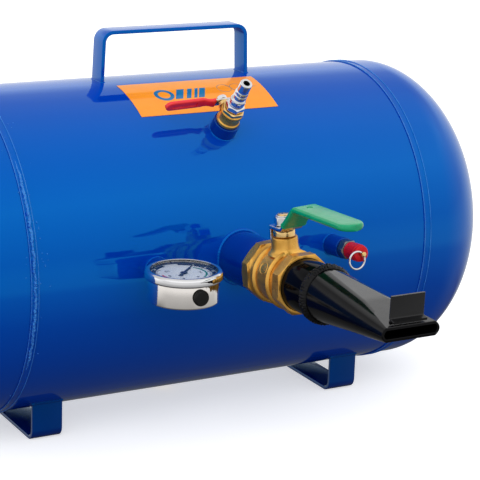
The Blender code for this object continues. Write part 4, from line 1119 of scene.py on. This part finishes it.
def gauge():
    socket("gauge_socket", "gauge_bung", GAUGE, 0.0095, 0.0052, 0.1185, 0.1352, 0.0006, 7.0)
    cup = mm(0, -10.3, 26, -10.3, 26, 10.7, 25, 10.7, 25, -9.3, 0, -9.3)
    case = put("gauge_cup", turned(cup, 0.0012, 160), STEEL, UPRIGHT, "gauge_case")
    drill(case, 0.0044, -0.03, -0.02, HUB)
    drill(case, 0.0043, 0.02, 0.03, PLUG_FRAME)
    ring = mm(26.3, 6.5, 28.1, 6.5, 28.7, 7.5, 28.7, 10.8, 27.8, 12.4, 26.3, 13, 25.2, 12.9,
              24.8, 12.7, 24.8, 12.5, 26.3, 12.5)
    put("gauge_ring", turned(ring, 0.0009, 160), CHROME, UPRIGHT, "gauge_bezel")
    glass = tube(0, 0.0258, CASE_TOP + 0.0003, CASE_TOP + 0.0015)
    put("gauge_glass", turned(glass, 0.0003, 128), GLASS, UPRIGHT, "gauge_window")
    for name, low, high in (("gauge_gasket", DIAL_TOP + 0.0001, CASE_TOP + 0.0002),
                            ("gauge_lip", CASE_TOP + 0.0016, BEZEL_TOP - 0.0003)):
        liner = [(0.024, low), (0.0247, low), (0.0247, high), (0.0243, high)]
        put(name, turned(liner, 0.0001, 128), GASKET, UPRIGHT)
    dial = tube(0.0012, 0.0246, DIAL_TOP - 0.0006, DIAL_TOP)
    put("gauge_face", turned(dial, 0.0001, 128), DIAL, UPRIGHT, "gauge_dial")
    dial_ticks()
    dial_band("dial_border", 0.0205, 0.0236, -30, 300, INK)
    for k in range(11):
        dial_band(f"dial_block_{k}", 0.0212, 0.023, 27 * k - 1.6, 27 * k + 1.6, DIAL, 0.0002)
    dial_band("dial_green", 0.0158, 0.0172, 6, 100, INK_GREEN)
    dial_band("dial_red", 0.0158, 0.0172, 160, 232, INK_RED)
    for k in range(6):
        dial_number(2 * k, 54 * k)
    gauge_hand()
    neck = mm(1.8, -43, 4.9, -43, 4.9, -34.2, 5.6, -34.2, 5.6, -27, 4.1, -27, 4.1, -22.5,
              1.8, -22.5)
    put("gauge_neck", turned(neck), BRASS_TURNED, HUB, "gauge_stem")
    put("gauge_neck_hex", nut(0.0114, 0.005, -0.034, -0.0272, 0.0005), BRASS_TURNED, HUB)
    plug = mm(0, 23, 4.8, 23, 4.8, 24.4, 4, 24.4, 4, 26.6, 6, 26.6, 6, 27.8, 5.4, 29, 4.5, 29.2, 0, 29.2)
    put("filling_plug", turned(plug, 0.0007), RUBBER, PLUG_FRAME, "gauge_plug")


# ---- safety valve
EYE = 0.1716
RING_RADIUS, RING_WIRE = 0.0068, 0.0008
RING_TURN = -52        # degrees, how the pull ring hangs in its eye


def knurled(angle, radius, height):
    """Fine diamond ribs on the cap's grip."""
    if radius < 0.0067 or not 0.1552 < height < 0.1662:
        return radius
    phase = height * 1500
    ribs = abs(sin(angle * 14 + phase)) * abs(sin(angle * 14 - phase))
    return radius - 0.0003 * (1 - ribs) ** 2


def safety_valve():
    socket("safety_socket", "safety_bung", SAFETY, 0.0082, 0.0048, 0.1185, 0.1455, 0.0006, 8.0)
    core = mm(4.5, 136, 4.5, 145.9, 6.4, 145.9, 6.4, 153.8, 5.8, 153.8, 5.8, 159.2,
              4.3, 159.2, 4.3, 146.8, 2, 146.8, 2, 136)
    put("safety_core", turned(core, 0.0002), ZINC, SAFETY, "safety_body")
    put("safety_hex", nut(0.014, 0.0058, 0.146, 0.1534, 0.0006), ZINC, SAFETY)
    cap = [(0.0065, 0.1542), (0.0068, 0.1547)]
    cap += [(0.0068, 0.155 + 0.0114 * k / 32) for k in range(33)]
    cap += mm(6.6, 166.9, 6, 167.2, 6, 167.7, 6.3, 168, 6.2, 168.9, 5.4, 169.5, 1.7, 169.5,
              1.7, 166.9, 4.7, 166.9, 4.7, 159.8, 6.1, 159.6, 6.1, 154.2)
    put("safety_knurled_cap", revolve(cap, 224, knurled), RED_METAL, SAFETY, "safety_cap", sharp=40)
    stem = mm(0, 147.1, 3.8, 147.1, 4, 147.8, 4, 150, 1.3, 150, 1.3, 169.5, 2.1, 169.9,
              2.1, 173.1, 1.4, 173.9, 0, 173.9)
    eye = put("pull_eye", turned(stem, 0.0003, 64), BRASS_TURNED, SAFETY, "safety_stem",
              body="safety_pull")
    swing = SAFETY @ at(z=EYE) @ spin(RING_TURN, "Z")
    drill(eye, RING_WIRE + 0.0004, -0.006, 0.006, swing @ TURN_ALONG_X, 32)
    rings = []
    for angle in angles(96):
        ring = []
        for turn in angles(14):
            x, y = polar(RING_RADIUS + RING_WIRE * cos(turn), angle)
            ring.append((x, y - RING_RADIUS, RING_WIRE * sin(turn)))
        rings.append(ring)
    put("pull_wire", loft(rings, closed=True), CHROME, swing, "pull_ring", sharp=60, body="pull_ring")


# ---- inner pieces that stay as in the CAD
INNER_PIECES = (
    (CHROME, ("main_ball", "fill_ball")),
    (PTFE, ("main_seat_front", "main_seat_rear", "main_packing", "fill_seat_inner", "fill_seat_outer")),
    (BRASS_TURNED, ("gauge_movement", "gauge_bourdon_tube")),
    (ZINC, ("safety_spring",)))


def dress_inner_pieces():
    for mat, names in INNER_PIECES:
        for name in names:
            for slot in frame["nodes"][name].material_slots:
                slot.material = mat


# ---- studio
# brightness from straight down (0) through the horizon (0.5) to straight up (1)
WORLD_FRONT = ((0.0, 0.05), (0.18, 0.17), (0.34, 0.42), (0.38, 0.66), (0.46, 0.7), (0.54, 0.62),
               (0.68, 0.8), (0.8, 0.98), (0.9, 0.84), (1.0, 0.7))
WORLD_BACK = ((0.0, 0.05), (0.27, 0.12), (0.33, 0.5), (0.4, 0.78), (0.48, 0.9), (0.68, 1.0),
              (0.76, 0.6), (0.84, 0.54), (0.92, 0.62), (1.0, 0.7))
WORLD_STRENGTH = 1.22
LENS = 136.62                                             # millimetres
VIEW_AZIMUTH, VIEW_ELEVATION, VIEW_ROLL = 29.64, 15.795, 2.046      # degrees
VIEW_FROM = (-0.66014, AXIS_Y - 1.28175, AXIS_HEIGHT + 0.39946)


def floor():
    """Wide pale floor that neither lights the object nor shows in its paint."""
    bm = bmesh.new()
    bmesh.ops.create_grid(bm, x_segments=1, y_segments=1, size=30)
    obj = as_object("floor", bm)
    mat, _, shader = new_material("floor_white", "floor")
    set_inputs(shader, Base_Color=(0.8, 0.8, 0.8, 1), Roughness=0.9, Specular_IOR_Level=0,
               Emission_Color=(1, 1, 1, 1), Emission_Strength=0.55)
    obj.data.materials.append(mat)
    obj.visible_diffuse = False
    obj.visible_glossy = False


def world():
    """Plain grey surroundings in two halves, in front of and behind the object."""
    made = bpy.data.worlds.new("studio")
    bpy.context.scene.world = made
    made.use_nodes = True
    tree = made.node_tree
    where = node(tree, "ShaderNodeTexCoord", "Generated")
    axes = node(tree, "ShaderNodeSeparateXYZ", "Z", Vector=where).node.outputs
    height = spread(tree, axes["Z"], 0.0, 1.0, -1.0, 1.0)
    mix = tree.nodes.new("ShaderNodeMix")
    mix.data_type = "RGBA"
    set_inputs(mix, Factor=spread(tree, axes["Y"], 0.0, 1.0, -0.1, 0.35))
    for half, stops in ((mix.inputs[6], WORLD_FRONT), (mix.inputs[7], WORLD_BACK)):
        shades = graded(tree, height, [(position, (grey, grey, grey)) for position, grey in stops])
        tree.links.new(shades, half)
    set_inputs(tree.nodes["Background"], Color=mix.outputs[2], Strength=WORLD_STRENGTH)


def softbox(name, place, width, height, power):
    """Rectangular lamp aimed at the tank; it lights but makes no mirror image."""
    light = bpy.data.lights.new(name, "AREA")
    light.shape = "RECTANGLE"
    light.size = width
    light.size_y = height
    light.energy = power
    obj = new_object(name, light)
    obj.location = place
    obj.rotation_euler = (Vector((0, 0.1, 0.1)) - Vector(place)).to_track_quat("-Z", "Y").to_euler()
    obj.visible_glossy = False


def camera():
    """The view of the photograph: long lens, from the left front, slightly above."""
    data = bpy.data.cameras.new("camera")
    data.lens = LENS
    data.sensor_width = 36
    data.clip_start = 0.05
    data.clip_end = 60
    obj = new_object("camera", data)
    turn = spin(-VIEW_AZIMUTH, "Z") @ spin(90 - VIEW_ELEVATION, "X") @ spin(VIEW_ROLL, "Z")
    obj.matrix_world = at(*VIEW_FROM) @ turn
    bpy.context.scene.camera = obj


camera()
tank()
main_valve()
nozzle()
fill_valve()
gauge()
safety_valve()
dress_inner_pieces()
floor()
world()
softbox("key_light", (-1.1, -1.6, 2.1), 1.6, 1.2, 14)
softbox("top_light", (0.4, 0.5, 2.4), 2.0, 2.0, 9)
bpy.context.scene.view_settings.view_transform = "Standard"
bpy.context.scene.view_settings.look = "None"
